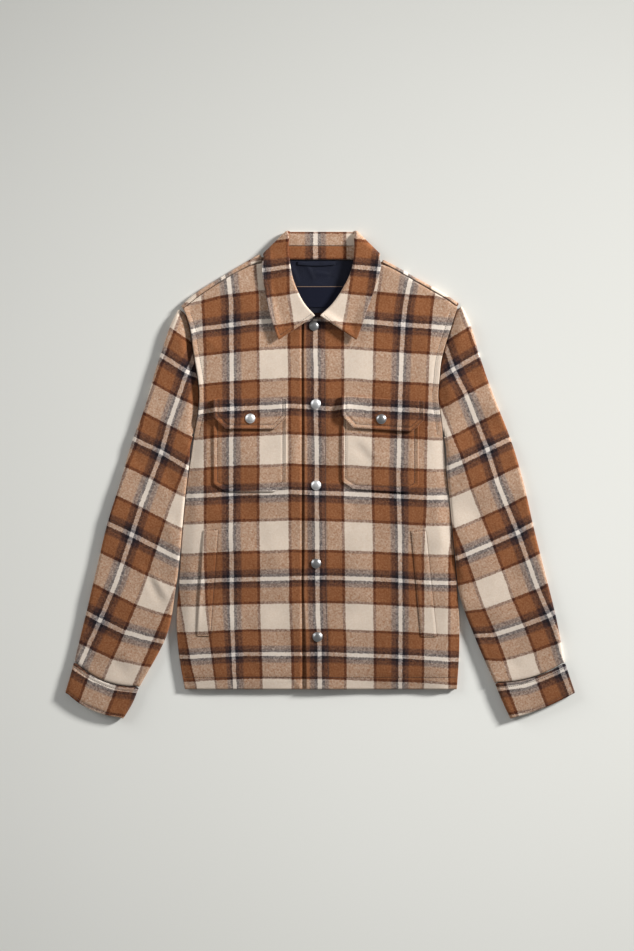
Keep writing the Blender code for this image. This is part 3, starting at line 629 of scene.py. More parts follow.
# Where the white stripes show in the photograph. Body columns: repeat, then y and x of points.
BODY_COLUMNS = (
    (-0.668, ((200, 172), (380, 174.6), (560, 175.4), (610, 182), (666, 191.7), (689, 197.4))),
    (-0.315, ((200, 196), (276, 201.5), (350, 205.2), (560, 205.2), (610, 206.8), (666, 213.6),
              (689, 216.6))),
    (0, ((240, 224), (276.3, 228.3), (300.4, 231.2), (350, 231.5), (395, 231.9), (420, 232.3), (440, 231.2),
         (505, 231), (535, 230.8), (560, 231.7), (610, 231.7), (630, 232.3), (665, 233.6), (685, 234.4))),
    (1, ((240, 315.3), (350, 315.3), (370, 316.1), (420, 316), (450, 316.9), (505, 316.8), (535, 317.3),
         (600, 317.6), (620, 318.2), (640, 319.6), (685, 320))),
    (2, ((240, 413.5), (276.3, 411.3), (288.9, 408.4), (307.2, 405), (325, 403.2), (357.8, 401.5),
         (395, 400.2), (420, 399.5), (450, 399.1), (475, 398.2), (505, 399.1), (535, 400), (600, 400.7),
         (685, 400.5))),
    (2.668, ((200, 476), (296, 463), (357, 457.6), (430, 456), (500, 455.2), (555, 448), (690, 448))),
)
BODY_ROWS_SEEN = (
    (-0.69, ((190, 268), (231, 262), (260, 259), (374, 258), (411, 261), (450, 266))),
    (-0.31, ((190, 305), (203.6, 301.9), (220.8, 297.3), (259.9, 292.1), (374, 293.2), (402.7, 296.1),
             (436, 297.8), (455, 300))),
    (0, ((190, 332.3), (200, 328.8), (215, 327.4), (230, 325.2), (250, 322.7), (260, 321.8), (320, 319.1),
         (370, 321.9), (390, 323.9), (410, 325.3), (430, 326.7), (450, 328.1))),
    (1, ((200, 412.2), (215, 409.7), (240, 408.5), (270, 407.3), (290, 405.9), (310, 407.2), (330, 408.8),
         (350, 406.4), (370, 408.5), (400, 409.7), (420, 410.5), (435, 412.2))),
    (2, ((190, 496.1), (215, 494.9), (240, 493.2), (270, 492.8), (290, 491.7), (320, 493.1), (350, 494),
         (370, 495), (400, 496.5), (430, 497.8), (445, 497.3))),
    (3, ((190, 581.9), (215, 580.6), (240, 579.6), (270, 579.1), (297, 578.1), (330, 577.8), (360, 578.8),
         (390, 579.9), (420, 582.2), (450, 583.2))),
    (4, ((190, 656.9), (215, 655.5), (250, 653.9), (280, 654), (330, 654), (360, 655.3), (390, 656.4),
         (420, 657.5), (450, 659.7))),
)
SLEEVE_TURN = {"right": 20.0, "left": -20.8}  # of the sleeves' stripes, from the body's
SLEEVE_STRIPE = {
    "right": ((190, 367), (187, 372), (169.3, 423.4), (161.5, 452.2), (143, 500.6), (132, 534.5),
              (116.6, 581.3), (100, 620.3), (80.5, 663.8)),
    "left": ((445.8, 347), (453.5, 369.6), (465.7, 394), (474.9, 417.6), (483, 438), (487.1, 448.5),
             (497.5, 482.8), (505.9, 503.9), (517.6, 532.6), (527, 558.6), (536.8, 586.6), (549.4, 615.4),
             (559.3, 641.4), (562, 652.6)),
}
SLEEVE_ACROSS = {
    "right": (
        ((160, 354.5), (187.7, 372.2)),
        ((132.4, 438.2), (161.5, 452.2), (188.5, 468.3)),
        ((107, 522.8), (132, 534.7), (155.4, 546.6), (175.8, 557.2)),
        ((86, 612.6), (100, 620.3), (123.1, 631.5), (148.4, 638.6), (162.4, 641.4)),
    ),
    "left": (
        ((439.2, 378.8), (453.5, 369.6), (479, 354.8)),
        ((446.6, 468.7), (459.8, 463), (487.4, 449.8), (506, 441)),
        ((461, 556.5), (488.4, 545.2), (517.6, 532.6), (532.6, 524.2)),
        ((475.1, 635.7), (493.3, 635), (520, 626.6), (549.4, 615.4), (555, 611.9)),
    ),
}
CUFF_STRIPE = {
    "right": ((57.0, 683.0), (49.0, 703.5)),
    "left": ((484.6, 704.3), (493.5, 727.3)),
}
CUFF_ACROSS = {
    "right": ((73.3, 667.4), (91.7, 679), (115.6, 688.5), (137.9, 690.9)),
    "left": ((496.4, 689.1), (525, 685.5), (551.8, 674.8), (567, 667.7)),
}


def seen(points):
    """The photograph's place of plan points."""
    points = np.asarray(points, float)
    return np.stack([MIDDLE[0] + points[..., 0] / PIXEL, MIDDLE[1] - points[..., 1] / PIXEL], axis=-1)


def plan_of(pixels):
    """Plan points of places in the photograph."""
    pixels = np.asarray(pixels, float)
    return np.stack([(pixels[..., 0] - MIDDLE[0]) * PIXEL, (MIDDLE[1] - pixels[..., 1]) * PIXEL], axis=-1)


def counted(value, at, stripes):
    """How many repeats value lies along, from stripes given as repeat and places at other values."""
    counts = np.array([stripe[0] for stripe in stripes], float)
    places = []
    for _, points in stripes:
        points = np.array(points, float)
        points = points[np.argsort(points[:, 0])]
        places.append(np.interp(at, points[:, 0], points[:, 1]))
    places = np.array(places)
    result = np.zeros_like(value)
    last = len(counts) - 2
    for k in range(last + 1):
        share = (value - places[k]) / (places[k + 1] - places[k])
        here = counts[k] + share * (counts[k + 1] - counts[k])
        inside = np.ones(value.shape, bool)
        if k > 0:
            inside &= value >= places[k]
        if k < last:
            inside &= value < places[k + 1]
        result = np.where(inside, here, result)
    return result


def body_cloth(points):
    """Place on the cloth, in repeats, of points of the body."""
    x, y = np.moveaxis(seen(points[..., :2]), -1, 0)
    across = counted(x, y, BODY_COLUMNS)
    along = counted(y, x, BODY_ROWS_SEEN)
    return np.stack([across, along], axis=-1)


def turned_frame(points, turn):
    """Places along and across stripes that are turned by an angle."""
    angle = math.radians(turn)
    x, y = np.moveaxis(np.asarray(points, float), -1, 0)
    along = -x * math.sin(angle) + y * math.cos(angle)
    across = x * math.cos(angle) + y * math.sin(angle)
    return along, across


def sleeve_cloth(side, points):
    turn = SLEEVE_TURN[side]
    along, across = turned_frame(seen(points[..., :2]), turn)
    stripe_along, stripe_across = turned_frame(SLEEVE_STRIPE[side], turn)
    order = np.argsort(stripe_along)
    stripe = np.interp(along, stripe_along[order], stripe_across[order])
    rows = []
    for k, row in enumerate(SLEEVE_ACROSS[side]):
        row_along, row_across = turned_frame(row, turn)
        rows.append((k, tuple(zip(row_across, row_along))))
    return np.stack([(across - stripe) * PIXEL / REPEAT, counted(along, across, rows)], axis=-1)


def cuff_cloth(side, points):
    turn = SLEEVE_TURN[side]
    along, across = turned_frame(seen(points[..., :2]), turn)
    stripe_along, stripe_across = turned_frame(CUFF_STRIPE[side], turn)
    stripe = np.interp(along, stripe_along, stripe_across)
    row_along, row_across = turned_frame(CUFF_ACROSS[side], turn)
    order = np.argsort(row_across)
    row = np.interp(across, row_across[order], row_along[order])
    return np.stack([(across - stripe) * PIXEL / REPEAT, (along - row) * PIXEL / REPEAT], axis=-1)


# The collar's cloth: where the line between its brown and cream columns shows on the fall, for
# each side, and its white row. Columns: y and x of points.
FALL_LINE = {
    "right": ((245, 287.4), (296, 288.5), (327, 293.1)),
    "left": ((245, 355.6), (266, 353.4), (294.6, 349.4), (326.8, 343.6)),
}
FALL_WHITE = {
    "right": ((263.3, 270.5), (287.4, 267.1)),
    "left": ((354, 267), (379.2, 269.4)),
}
LINE_FROM_WHITE = 26.5
BAND_MIDDLE = 315.5
BAND_ROW = 247.8
BAND_STRETCH = 1.1
STAND_ROW = 232.5


def fall_cloth(side, points):
    """Place on the cloth of the part of the collar that is turned over."""
    x, y = np.moveaxis(seen(points[..., :2]), -1, 0)
    line = np.array(FALL_LINE[side], float)
    white = np.array(FALL_WHITE[side], float)
    sign = sign_of(side)
    across = (x - np.interp(y, line[:, 0], line[:, 1])) * -sign * PIXEL / REPEAT
    slope = (white[1, 1] - white[0, 1]) / (white[1, 0] - white[0, 0])
    row = white[0, 1] + (x - white[0, 0]) * slope
    return np.stack([across + LINE_FROM_WHITE * PIXEL / REPEAT, (y - row) * PIXEL / REPEAT], axis=-1)


def band_cloth(points, row, start):
    """Place on the cloth of the inside of the collar, row being where the given count lies."""
    x, y = np.moveaxis(seen(points[..., :2]), -1, 0)
    across = (x - BAND_MIDDLE) * PIXEL / REPEAT / BAND_STRETCH
    return np.stack([across, start + (y - row) * PIXEL / REPEAT], axis=-1)


def plain(red, green, blue):
    """A colour in the numbers of a shader, from the numbers of a screen."""
    values = []
    for value in (red, green, blue):
        value /= 255
        values.append(value / 12.92 if value <= 0.04045 else ((value + 0.055) / 1.055) ** 2.4)
    return (*values, 1.0)


def new_node(tree, kind, inputs=(), **settings):
    """A node with its settings and its inputs, each a value or the socket that feeds it."""
    made = tree.nodes.new(kind)
    for name, value in settings.items():
        setattr(made, name, value)
    for key, value in dict(inputs).items():
        if isinstance(value, bpy.types.NodeSocket):
            tree.links.new(value, made.inputs[key])
        else:
            made.inputs[key].default_value = value
    return made


def maths(tree, operation, first, second=0.0, third=0.0):
    made = new_node(tree, "ShaderNodeMath", {0: first, 1: second, 2: third}, operation=operation)
    return made.outputs[0]


def noise(tree, vector, scale, detail=2.0, roughness=0.5):
    """Noise around 0, from -0.5 to 0.5."""
    inputs = {"Vector": vector, "Scale": scale, "Detail": detail, "Roughness": roughness}
    made = new_node(tree, "ShaderNodeTexNoise", inputs)
    return maths(tree, "SUBTRACT", made.outputs["Fac"], 0.5)


def colour_mix(tree, share, first, second):
    made = new_node(tree, "ShaderNodeMix", data_type="RGBA")
    for key, value in ((0, share), (6, first), (7, second)):
        if isinstance(value, bpy.types.NodeSocket):
            tree.links.new(value, made.inputs[key])
        else:
            made.inputs[key].default_value = value
    return made.outputs[2]


def stripe_colour(tree, count, shift):
    """The yarn's colour where a count of repeats stands."""
    moved = maths(tree, "ADD", count, shift)
    part = maths(tree, "FRACT", maths(tree, "ADD", moved, 0.5))
    away = maths(tree, "ABSOLUTE", maths(tree, "SUBTRACT", part, 0.5))
    ramp = tree.nodes.new("ShaderNodeValToRGB")
    stops = ramp.color_ramp.elements
    places = []
    for yarn, start, end in SETT:
        colour = (*(value / 255 for value in YARNS[yarn]), 1.0)
        places += [(start, colour), (end, colour)]
    stops[0].position, stops[0].color = places[0]
    stops[1].position, stops[1].color = places[-1]
    for position, colour in places[1:-1]:
        stop = stops.new(position)
        stop.color = colour
    tree.links.new(maths(tree, "MULTIPLY", away, 2.0), ramp.inputs[0])
    return ramp.outputs[0]


def plaid_group():
    """Brushed plaid wool: its colour, with painted light that darkens it towards the hem, and the height of
    its ribs and nap.
    """
    group = bpy.data.node_groups.new("plaid_wool_weave", "ShaderNodeTree")
    face = group.interface
    face.new_socket("Cloth", in_out="INPUT", socket_type="NodeSocketVector")
    face.new_socket("Place", in_out="INPUT", socket_type="NodeSocketVector")
    face.new_socket("Color", in_out="OUTPUT", socket_type="NodeSocketColor")
    face.new_socket("Height", in_out="OUTPUT", socket_type="NodeSocketFloat")
    face.new_socket("Nap", in_out="OUTPUT", socket_type="NodeSocketFloat")
    given = group.nodes.new("NodeGroupInput")
    split = new_node(group, "ShaderNodeSeparateXYZ", {0: given.outputs["Cloth"]})
    place = given.outputs["Place"]
    across, along = split.outputs[0], split.outputs[1]
    edge = maths(group, "MULTIPLY", noise(group, place, 420.0, 1.0), 0.02)
    waver = maths(group, "MULTIPLY", noise(group, place, 60.0, 1.0), 0.008)
    shift = maths(group, "ADD", edge, waver)
    warp = stripe_colour(group, across, shift)
    weft = stripe_colour(group, along, shift)
    both = maths(group, "ADD", across, along)
    ribs = maths(group, "SINE", maths(group, "MULTIPLY", both, 2 * math.pi * REPEAT / TWILL))
    turned = new_node(group, "ShaderNodeMapping", {"Vector": place, "Rotation": GRAIN_TURN}).outputs[0]
    grain = noise(group, turned, 330.0, 2.0, 0.6)
    share = maths(group, "MULTIPLY_ADD", ribs, 0.16, 0.5)
    share = maths(group, "MULTIPLY_ADD", grain, 0.95, share)
    woven = colour_mix(group, share, warp, weft)
    fibre = noise(group, turned, 370.0, 3.0, 0.7)
    gamma = maths(group, "MULTIPLY_ADD", fibre, FIBRE_GAMMA, SCREEN_GAMMA)
    woven = new_node(group, "ShaderNodeGamma", {"Color": woven, "Gamma": gamma}).outputs[0]
    cloudy = noise(group, place, 28.0, 3.0)
    # Painted light: the colour is scaled down towards the hem by height on the garment, a painted falloff
    # of light. The cloudy part is the wool's own uneven tone.
    high = new_node(group, "ShaderNodeSeparateXYZ", {0: place}).outputs[1]
    painted_light_fall = maths(group, "MULTIPLY_ADD", high, 0.33, 0.9)
    tone = maths(group, "MULTIPLY_ADD", cloudy, 0.22, painted_light_fall)
    coloured = new_node(group, "ShaderNodeVectorMath", {0: woven, "Scale": tone}, operation="SCALE")
    height = maths(group, "MULTIPLY_ADD", ribs, 0.22, 0.5)
    height = maths(group, "MULTIPLY_ADD", fibre, 1.1, height)
    height = maths(group, "MULTIPLY_ADD", grain, 0.5, height)
    out = group.nodes.new("NodeGroupOutput")
    group.links.new(coloured.outputs[0], out.inputs["Color"])
    group.links.new(height, out.inputs["Height"])
    group.links.new(maths(group, "MULTIPLY_ADD", fibre, 0.3, 0.9), out.inputs["Nap"])
    return group


def blank_material(name):
    material = bpy.data.materials.new(name)
    material.use_nodes = True
    return material, material.node_tree, material.node_tree.nodes["Principled BSDF"]


def set_sockets(shader, **values):
    for name, value in values.items():
        shader.inputs[name.replace("_", " ")].default_value = value


def bumped(tree, shader, height, distance, strength=1.0):
    bump = new_node(tree, "ShaderNodeBump", {"Height": height, "Distance": distance, "Strength": strength})
    tree.links.new(bump.outputs[0], shader.inputs["Normal"])


def wool_material(name):
    material, tree, shader = blank_material(name)
    cloth_map = new_node(tree, "ShaderNodeUVMap", uv_map="cloth")
    place = tree.nodes.new("ShaderNodeTexCoord")
    inputs = {"Cloth": cloth_map.outputs[0], "Place": place.outputs["Object"]}
    weave = tree.nodes.new("ShaderNodeGroup")
    weave.node_tree = WEAVE
    for key, value in inputs.items():
        tree.links.new(value, weave.inputs[key])
    tree.links.new(weave.outputs["Color"], shader.inputs["Base Color"])
    tree.links.new(weave.outputs["Nap"], shader.inputs["Roughness"])
    bumped(tree, shader, weave.outputs["Height"], 0.00035, 0.7)
    set_sockets(shader, Sheen_Weight=0.16, Sheen_Roughness=0.5, Sheen_Tint=plain(235, 215, 196))
    shader.inputs["Specular IOR Level"].default_value = 0.15
    return material


def navy_material(name, colour, spread):
    """A smooth navy lining cloth with a fine weave and soft watered tone."""
    material, tree, shader = blank_material(name)
    place = tree.nodes.new("ShaderNodeTexCoord").outputs["Object"]
    split = new_node(tree, "ShaderNodeSeparateXYZ", {0: place})
    ribs = maths(tree, "SINE", maths(tree, "MULTIPLY", split.outputs[0], 9000.0))
    picks = maths(tree, "SINE", maths(tree, "MULTIPLY", split.outputs[1], 9000.0))
    weave = maths(tree, "MULTIPLY", ribs, picks)
    cloudy = noise(tree, place, spread, 3.0)
    share = maths(tree, "MULTIPLY_ADD", cloudy, 1.4, 0.5)
    darker = tuple(value * 0.55 for value in colour[:3]) + (1.0,)
    lighter = tuple(value * 1.6 for value in colour[:3]) + (1.0,)
    tree.links.new(colour_mix(tree, share, darker, lighter), shader.inputs["Base Color"])
    bumped(tree, shader, weave, 0.00008, 0.6)
    rough = maths(tree, "MULTIPLY_ADD", cloudy, 0.2, 0.55)
    tree.links.new(rough, shader.inputs["Roughness"])
    shader.inputs["Specular IOR Level"].default_value = 0.25
    return material


def label_material(name, colour, border):
    """A woven label, bare but for a thin line below its top, its map giving millimetres."""
    material, tree, shader = blank_material(name)
    edges = new_node(tree, "ShaderNodeUVMap", uv_map="cloth")
    split = new_node(tree, "ShaderNodeSeparateXYZ", {0: edges.outputs[0]})
    offset = maths(tree, "ABSOLUTE", maths(tree, "SUBTRACT", split.outputs[1], LABEL_SIZE[1] - 1.5))
    line = maths(tree, "LESS_THAN", offset, 0.4)
    place = tree.nodes.new("ShaderNodeTexCoord").outputs["Object"]
    thread = noise(tree, place, 1500.0, 2.0)
    ribs = maths(tree, "SINE", maths(tree, "MULTIPLY", split.outputs[1], 12.0))
    field = colour_mix(tree, maths(tree, "MULTIPLY_ADD", thread, 0.9, 0.5), colour, plain(15, 20, 42))
    tree.links.new(colour_mix(tree, line, field, border), shader.inputs["Base Color"])
    height = maths(tree, "MULTIPLY_ADD", ribs, 0.5, maths(tree, "MULTIPLY", line, 1.5))
    bumped(tree, shader, height, 0.00012, 0.8)
    rough = maths(tree, "MULTIPLY_ADD", thread, 0.2, 0.6)
    tree.links.new(rough, shader.inputs["Roughness"])
    shader.inputs["Specular IOR Level"].default_value = 0.15
    return material


def thread_material(name, colour):
    material, tree, shader = blank_material(name)
    place = tree.nodes.new("ShaderNodeTexCoord").outputs["Object"]
    fuzz = noise(tree, place, 2600.0, 2.0)
    darker = tuple(value * 0.6 for value in colour[:3]) + (1.0,)
    share = maths(tree, "MULTIPLY_ADD", fuzz, 1.0, 0.5)
    tree.links.new(colour_mix(tree, share, darker, colour), shader.inputs["Base Color"])
    bumped(tree, shader, fuzz, 0.0001, 0.7)
    rough = maths(tree, "MULTIPLY_ADD", fuzz, 0.3, 0.6)
    tree.links.new(rough, shader.inputs["Roughness"])
    return material


def steel_material(name, darker, lighter, roughness):
    """Brushed steel with fine scratches and soft spots."""
    material, tree, shader = blank_material(name)
    place = tree.nodes.new("ShaderNodeTexCoord").outputs["Object"]
    stretched = new_node(tree, "ShaderNodeMapping", {"Vector": place, "Scale": (1.0, 14.0, 1.0)})
    brushed = noise(tree, stretched.outputs[0], 900.0, 3.0, 0.6)
    spots = noise(tree, place, 160.0, 2.0)
    share = maths(tree, "MULTIPLY_ADD", brushed, 0.8, 0.5)
    colour = colour_mix(tree, share, darker, lighter)
    tree.links.new(colour, shader.inputs["Base Color"])
    rough = maths(tree, "MULTIPLY_ADD", brushed, 0.25, roughness)
    rough = maths(tree, "MULTIPLY_ADD", spots, 0.2, rough)
    tree.links.new(rough, shader.inputs["Roughness"])
    bumped(tree, shader, brushed, 0.00005, 0.5)
    set_sockets(shader, Metallic=1.0)
    return material


def floor_material(name):
    material, tree, shader = blank_material(name)
    place = tree.nodes.new("ShaderNodeTexCoord").outputs["Object"]
    cloudy = noise(tree, place, 1.6, 2.0)
    share = maths(tree, "MULTIPLY_ADD", cloudy, 0.6, 0.5)
    colour = colour_mix(tree, share, plain(226, 226, 220), plain(230, 230, 226))
    # Painted light: the table's colour darkens with distance from a bright spot, a painted pool of light.
    split = new_node(tree, "ShaderNodeSeparateXYZ", {0: place})
    tone = FLOOR_PAINTED_LIGHT_PEAK
    for axis, middle, fall in FLOOR_PAINTED_LIGHT_FALL:
        away = maths(tree, "SUBTRACT", split.outputs[axis], middle)
        tone = maths(tree, "MULTIPLY_ADD", maths(tree, "MULTIPLY", away, away), -fall, tone)
    painted_light_floor = new_node(tree, "ShaderNodeVectorMath", {0: colour, "Scale": tone}, operation="SCALE")
    tree.links.new(painted_light_floor.outputs[0], shader.inputs["Base Color"])
    bumped(tree, shader, noise(tree, place, 700.0, 2.0), 0.0001, 0.3)
    set_sockets(shader, Roughness=0.85)
    return material


def only(piece):
    bpy.ops.object.select_all(action="DESELECT")
    piece.select_set(True)
    bpy.context.view_layer.objects.active = piece


def bent_grid(name, rows, place, closed=False, beyond=None, beyond_column=0):
    """A grid bent through rows of points, with each point's place on the cloth as its map.

    Faces from beyond_column on, one for all rows or one for each, take their places from beyond,
    as another cut of the cloth.
    """
    rows = np.asarray(rows, float)
    place = np.asarray(place, float)
    if closed:
        rows = np.concatenate([rows, rows[:, :1]], axis=1)
        place = np.concatenate([place, place[:, :1]], axis=1)
    down, across = rows.shape[:2]
    bpy.ops.object.select_all(action="DESELECT")
    bpy.ops.mesh.primitive_grid_add(x_subdivisions=across - 1, y_subdivisions=down - 1)
    piece = bpy.context.object
    piece.name = name
    mesh = piece.data
    mesh.name = name
    mesh.vertices.foreach_set("co", (rows * MM).ravel())
    corners = np.empty(len(mesh.loops), np.int32)
    mesh.loops.foreach_get("vertex_index", corners)
    values = place.reshape(-1, 2)[corners]
    if beyond is not None:
        row, column = np.divmod(np.arange(len(corners)) // 4, across - 1)
        other = np.asarray(beyond, float).reshape(-1, 2)[corners]
        first = np.broadcast_to(beyond_column, down - 1)[row]
        values = np.where((column >= first)[:, None], other, values)
    layer = mesh.uv_layers[0]
    layer.name = "cloth"
    layer.uv.foreach_set("vector", values.astype(np.float32).ravel())
    mesh.update()
    only(piece)
    if closed:
        bpy.ops.object.mode_set(mode="EDIT")
        bpy.ops.mesh.select_all(action="SELECT")
        bpy.ops.mesh.remove_doubles(threshold=0.01 * MM)
        bpy.ops.object.mode_set(mode="OBJECT")
    bpy.ops.object.shade_smooth()
    return piece


def give_wall(piece, wall, material, levels=1):
    """Thickens a surface on both its sides, rounds its edges and applies both."""
    only(piece)
    solid = piece.modifiers.new("wall", "SOLIDIFY")
    solid.thickness = wall * MM
    solid.offset = 0.0
    solid.use_quality_normals = True
    soft = piece.modifiers.new("rounded", "SUBSURF")
    soft.levels = levels
    soft.render_levels = levels
    for modifier in list(piece.modifiers):
        bpy.ops.object.modifier_apply(modifier=modifier.name)
    piece.data.materials.clear()
    piece.data.materials.append(material)


def points_of(piece):
    """Places in millimetres and normals of a piece's points."""
    mesh = piece.data
    places = np.empty(len(mesh.vertices) * 3)
    mesh.vertices.foreach_get("co", places)
    normals = np.empty(len(mesh.vertices) * 3, np.float32)
    mesh.vertex_normals.foreach_get("vector", normals)
    return places.reshape(-1, 3) / MM, normals.reshape(-1, 3)


def put_points(piece, places):
    piece.data.vertices.foreach_set("co", (places * MM).ravel())
    piece.data.update()


def far_from(points, line):
    """Distance in plan of points from a line of points."""
    best = np.full(len(points), 1e9)
    for start, end in zip(line[:-1], line[1:]):
        along = end - start
        share = np.clip(((points - start) @ along) / (along @ along), 0, 1)
        best = np.minimum(best, np.linalg.norm(points - start - share[:, None] * along, axis=1))
    return best


def press(piece, lines, depth, width, above=0.0, edge=None, bead=0.0):
    """Presses grooves along lines into the upper face of a piece.

    With an edge, the margin between it and the lines also rises to a rounded bead.
    """
    places, normals = points_of(piece)
    upper = np.clip(normals[:, 2], 0.0, 1.0) * (places[:, 2] > above)
    moved = np.zeros(len(places))
    for line in lines:
        moved = np.minimum(moved, -depth * np.exp(-((far_from(places[:, :2], line) / width) ** 2)))
    if edge is not None:
        from_edge = far_from(places[:, :2], edge)
        moved += bead * smooth((EDGE_BEAD - from_edge) / EDGE_BEAD)
    places[:, 2] += moved * upper
    put_points(piece, places)


ARMHOLE_RAISED = (3.2, 0.8)  # how far the right and the left front rise at their armholes
ARMHOLE_RAISED_WIDTH = 9.0  # distance from the armhole over which that fades
ARMHOLE_RAISED_RISE = 30.0  # distance above the underarm over which it begins
SLEEVE_PRESSED = {"right": 0.45, "left": 0.16}  # how much flatter a sleeve is beside the armhole
SLEEVE_PRESSED_Y = 60.0  # and from here up
SLEEVE_PRESSED_RISE = 30.0
SLEEVE_EASE = 18.0  # distance from the armhole over which a sleeve gets its waves

# Creases of the cloth, as long soft ridges and troughs. Columns: x and y where it starts, x and y
# where it ends, half width, height (below 0 for a trough).
BODY_CREASES = (
    (-40, 66, -44, 8, 7, 0.9),
    (-32, 60, -34, 14, 5, -0.7),
    (-46, -333, -30, -354, 5, 1.1),
    (-48, -346, -32, -338, 4, -0.8),
    (56, 51, 84, 22, 10, -1.1),
    (68, 56, 96, 26, 8, 0.4),
    (60, -108, 86, -82, 7, -0.8),
    (42, -38, 66, -60, 6, -0.6),
    (-196, 236, -170, 205, 9, 0.8),
    (-190, 214, -160, 190, 8, -0.6),
    (186, 238, 160, 208, 9, 0.7),
    (188, 100, 164, 60, 8, 0.6),
    (-190, 96, -166, 58, 8, 0.6),
    (-206, -10, -186, -70, 9, -0.7),
    (-226, -140, -200, -190, 9, 0.7),
    (212, -120, 196, -185, 9, -0.8),
    (200, -20, 190, -78, 8, 0.6),
    (-150, -232, -100, -300, 12, 0.6),
    (130, -240, 90, -312, 12, 0.6),
    (-90, -60, -70, -150, 12, 0.5),
    (100, -70, 70, -160, 12, -0.5),
)
SLEEVE_CREASES = {
    "right": (
        (-228, 272, -219, 232, 5, 1.2),
        (-238, 252, -229, 238, 5, -0.9),
        (-288, -158, -264, -208, 7, -1.3),
        (-276, -164, -250, -204, 6, 1.0),
        (-300, -150, -280, -176, 8, 0.8),
        (-348, -298, -320, -330, 10, -0.9),
        (-330, -285, -300, -318, 10, 0.7),
        (-252, -70, -240, -130, 8, 0.9),
        (-262, 20, -240, -30, 9, -0.7),
        (-350, -90, -322, -128, 10, 0.7),
        (-312, 40, -290, 8, 9, -0.6),
    ),
    "left": (
        (276, -92, 290, -88, 4, -0.8),
        (226, -144, 232, -200, 6, -1.0),
        (222, -128, 236, -170, 7, 0.9),
        (236, 240, 224, 214, 7, 0.8),
        (250, 40, 236, -20, 9, 0.6),
        (352, -100, 330, -140, 10, 0.6),
        (300, -296, 330, -318, 9, -0.7),
        (372, -210, 392, -262, 9, 0.6),
    ),
}
WAVES = 14
WAVE_HEIGHT = 0.42
WAVE_LENGTHS = (38, 150)  # the shortest and the longest
WAVE_USUAL = 90
BODY_SEED = 3
SLEEVE_SEED = {"right": 5, "left": 8}
SLEEVE_WAVE_HEIGHT = 0.5


def creased(x, y, creases):
    total = np.zeros_like(x)
    for x0, y0, x1, y1, width, height in creases:
        along_x, along_y = x1 - x0, y1 - y0
        share = ((x - x0) * along_x + (y - y0) * along_y) / (along_x**2 + along_y**2)
        share = np.clip(share, 0.0, 1.0)
        off = np.hypot(x - x0 - share * along_x, y - y0 - share * along_y)
        taper = 0.25 + 0.75 * np.sqrt(4 * share * (1 - share))
        total = total + height * taper * np.exp(-((off / width) ** 2))
    return total


def rippled(x, y, seed, height=WAVE_HEIGHT):
    """Low uneven waves, as cloth has that was smoothed by hand."""
    draw = np.random.default_rng(seed)
    total = np.zeros_like(x)
    for _ in range(WAVES):
        turn = draw.uniform(0, math.pi)
        length = draw.uniform(*WAVE_LENGTHS)
        start = draw.uniform(0, 2 * math.pi)
        along = x * math.cos(turn) + y * math.sin(turn)
        total = total + length * np.sin(2 * math.pi * along / length + start)
    return height * total / (WAVE_USUAL * math.sqrt(WAVES / 2))


def body_lift(x, y):
    """How far creases and waves move the fronts, and what lies on them, up or down."""
    side = np.where(x < 0, side_x("right", y) * -1, side_x("left", y))
    away = side - np.abs(x)
    inside = smooth(away / SIDE_ROLL)
    raised = np.where(x < 0, *ARMHOLE_RAISED) * np.exp(-((away / ARMHOLE_RAISED_WIDTH) ** 2))
    raised = raised * smooth((y - UNDERARM_Y) / ARMHOLE_RAISED_RISE)
    return inside * (creased(x, y, BODY_CREASES) + rippled(x, y, BODY_SEED)) + raised


def lift_body(piece):
    places, _ = points_of(piece)
    places[:, 2] += body_lift(places[:, 0], places[:, 1])
    put_points(piece, places)


def dress(piece, slot, *nodes):
    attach(piece, "root")
    if nodes:
        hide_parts(*nodes)
    return piece


def add_back():
    flat = back_surface()
    columns = flat.shape[1]
    piece = bent_grid("back_cloth", flat, body_cloth(flat) + BACK_SHIFT)
    rolls = []
    for side in ("right", "left"):
        first = flat[-1, :SHOULDER_COLUMNS] if side == "right" else flat[-1, columns - SHOULDER_COLUMNS:]
        rows = np.concatenate([first[None], shoulder_roll(side)])
        rolls.append(bent_grid("roll_" + side, rows, body_cloth(rows) + BACK_SHIFT))
    bpy.ops.object.select_all(action="DESELECT")
    for roll in rolls:
        roll.select_set(True)
    piece.select_set(True)
    bpy.context.view_layer.objects.active = piece
    bpy.ops.object.join()
    bpy.ops.object.mode_set(mode="EDIT")
    bpy.ops.mesh.select_all(action="SELECT")
    bpy.ops.mesh.remove_doubles(threshold=0.01 * MM)
    bpy.ops.object.mode_set(mode="OBJECT")
    give_wall(piece, WALL, WOOL)
    return piece


def add_front(side):
    columns = np.unique(np.concatenate([FRONT_COLUMNS, LAP_COLUMNS])) if side == "right" else FRONT_COLUMNS
    rows = front_surface(side, columns)
    piece = bent_grid(f"front_{side}_cloth", rows, body_cloth(rows))
    give_wall(piece, WALL, WOOL)
    lift_body(piece)
    return piece


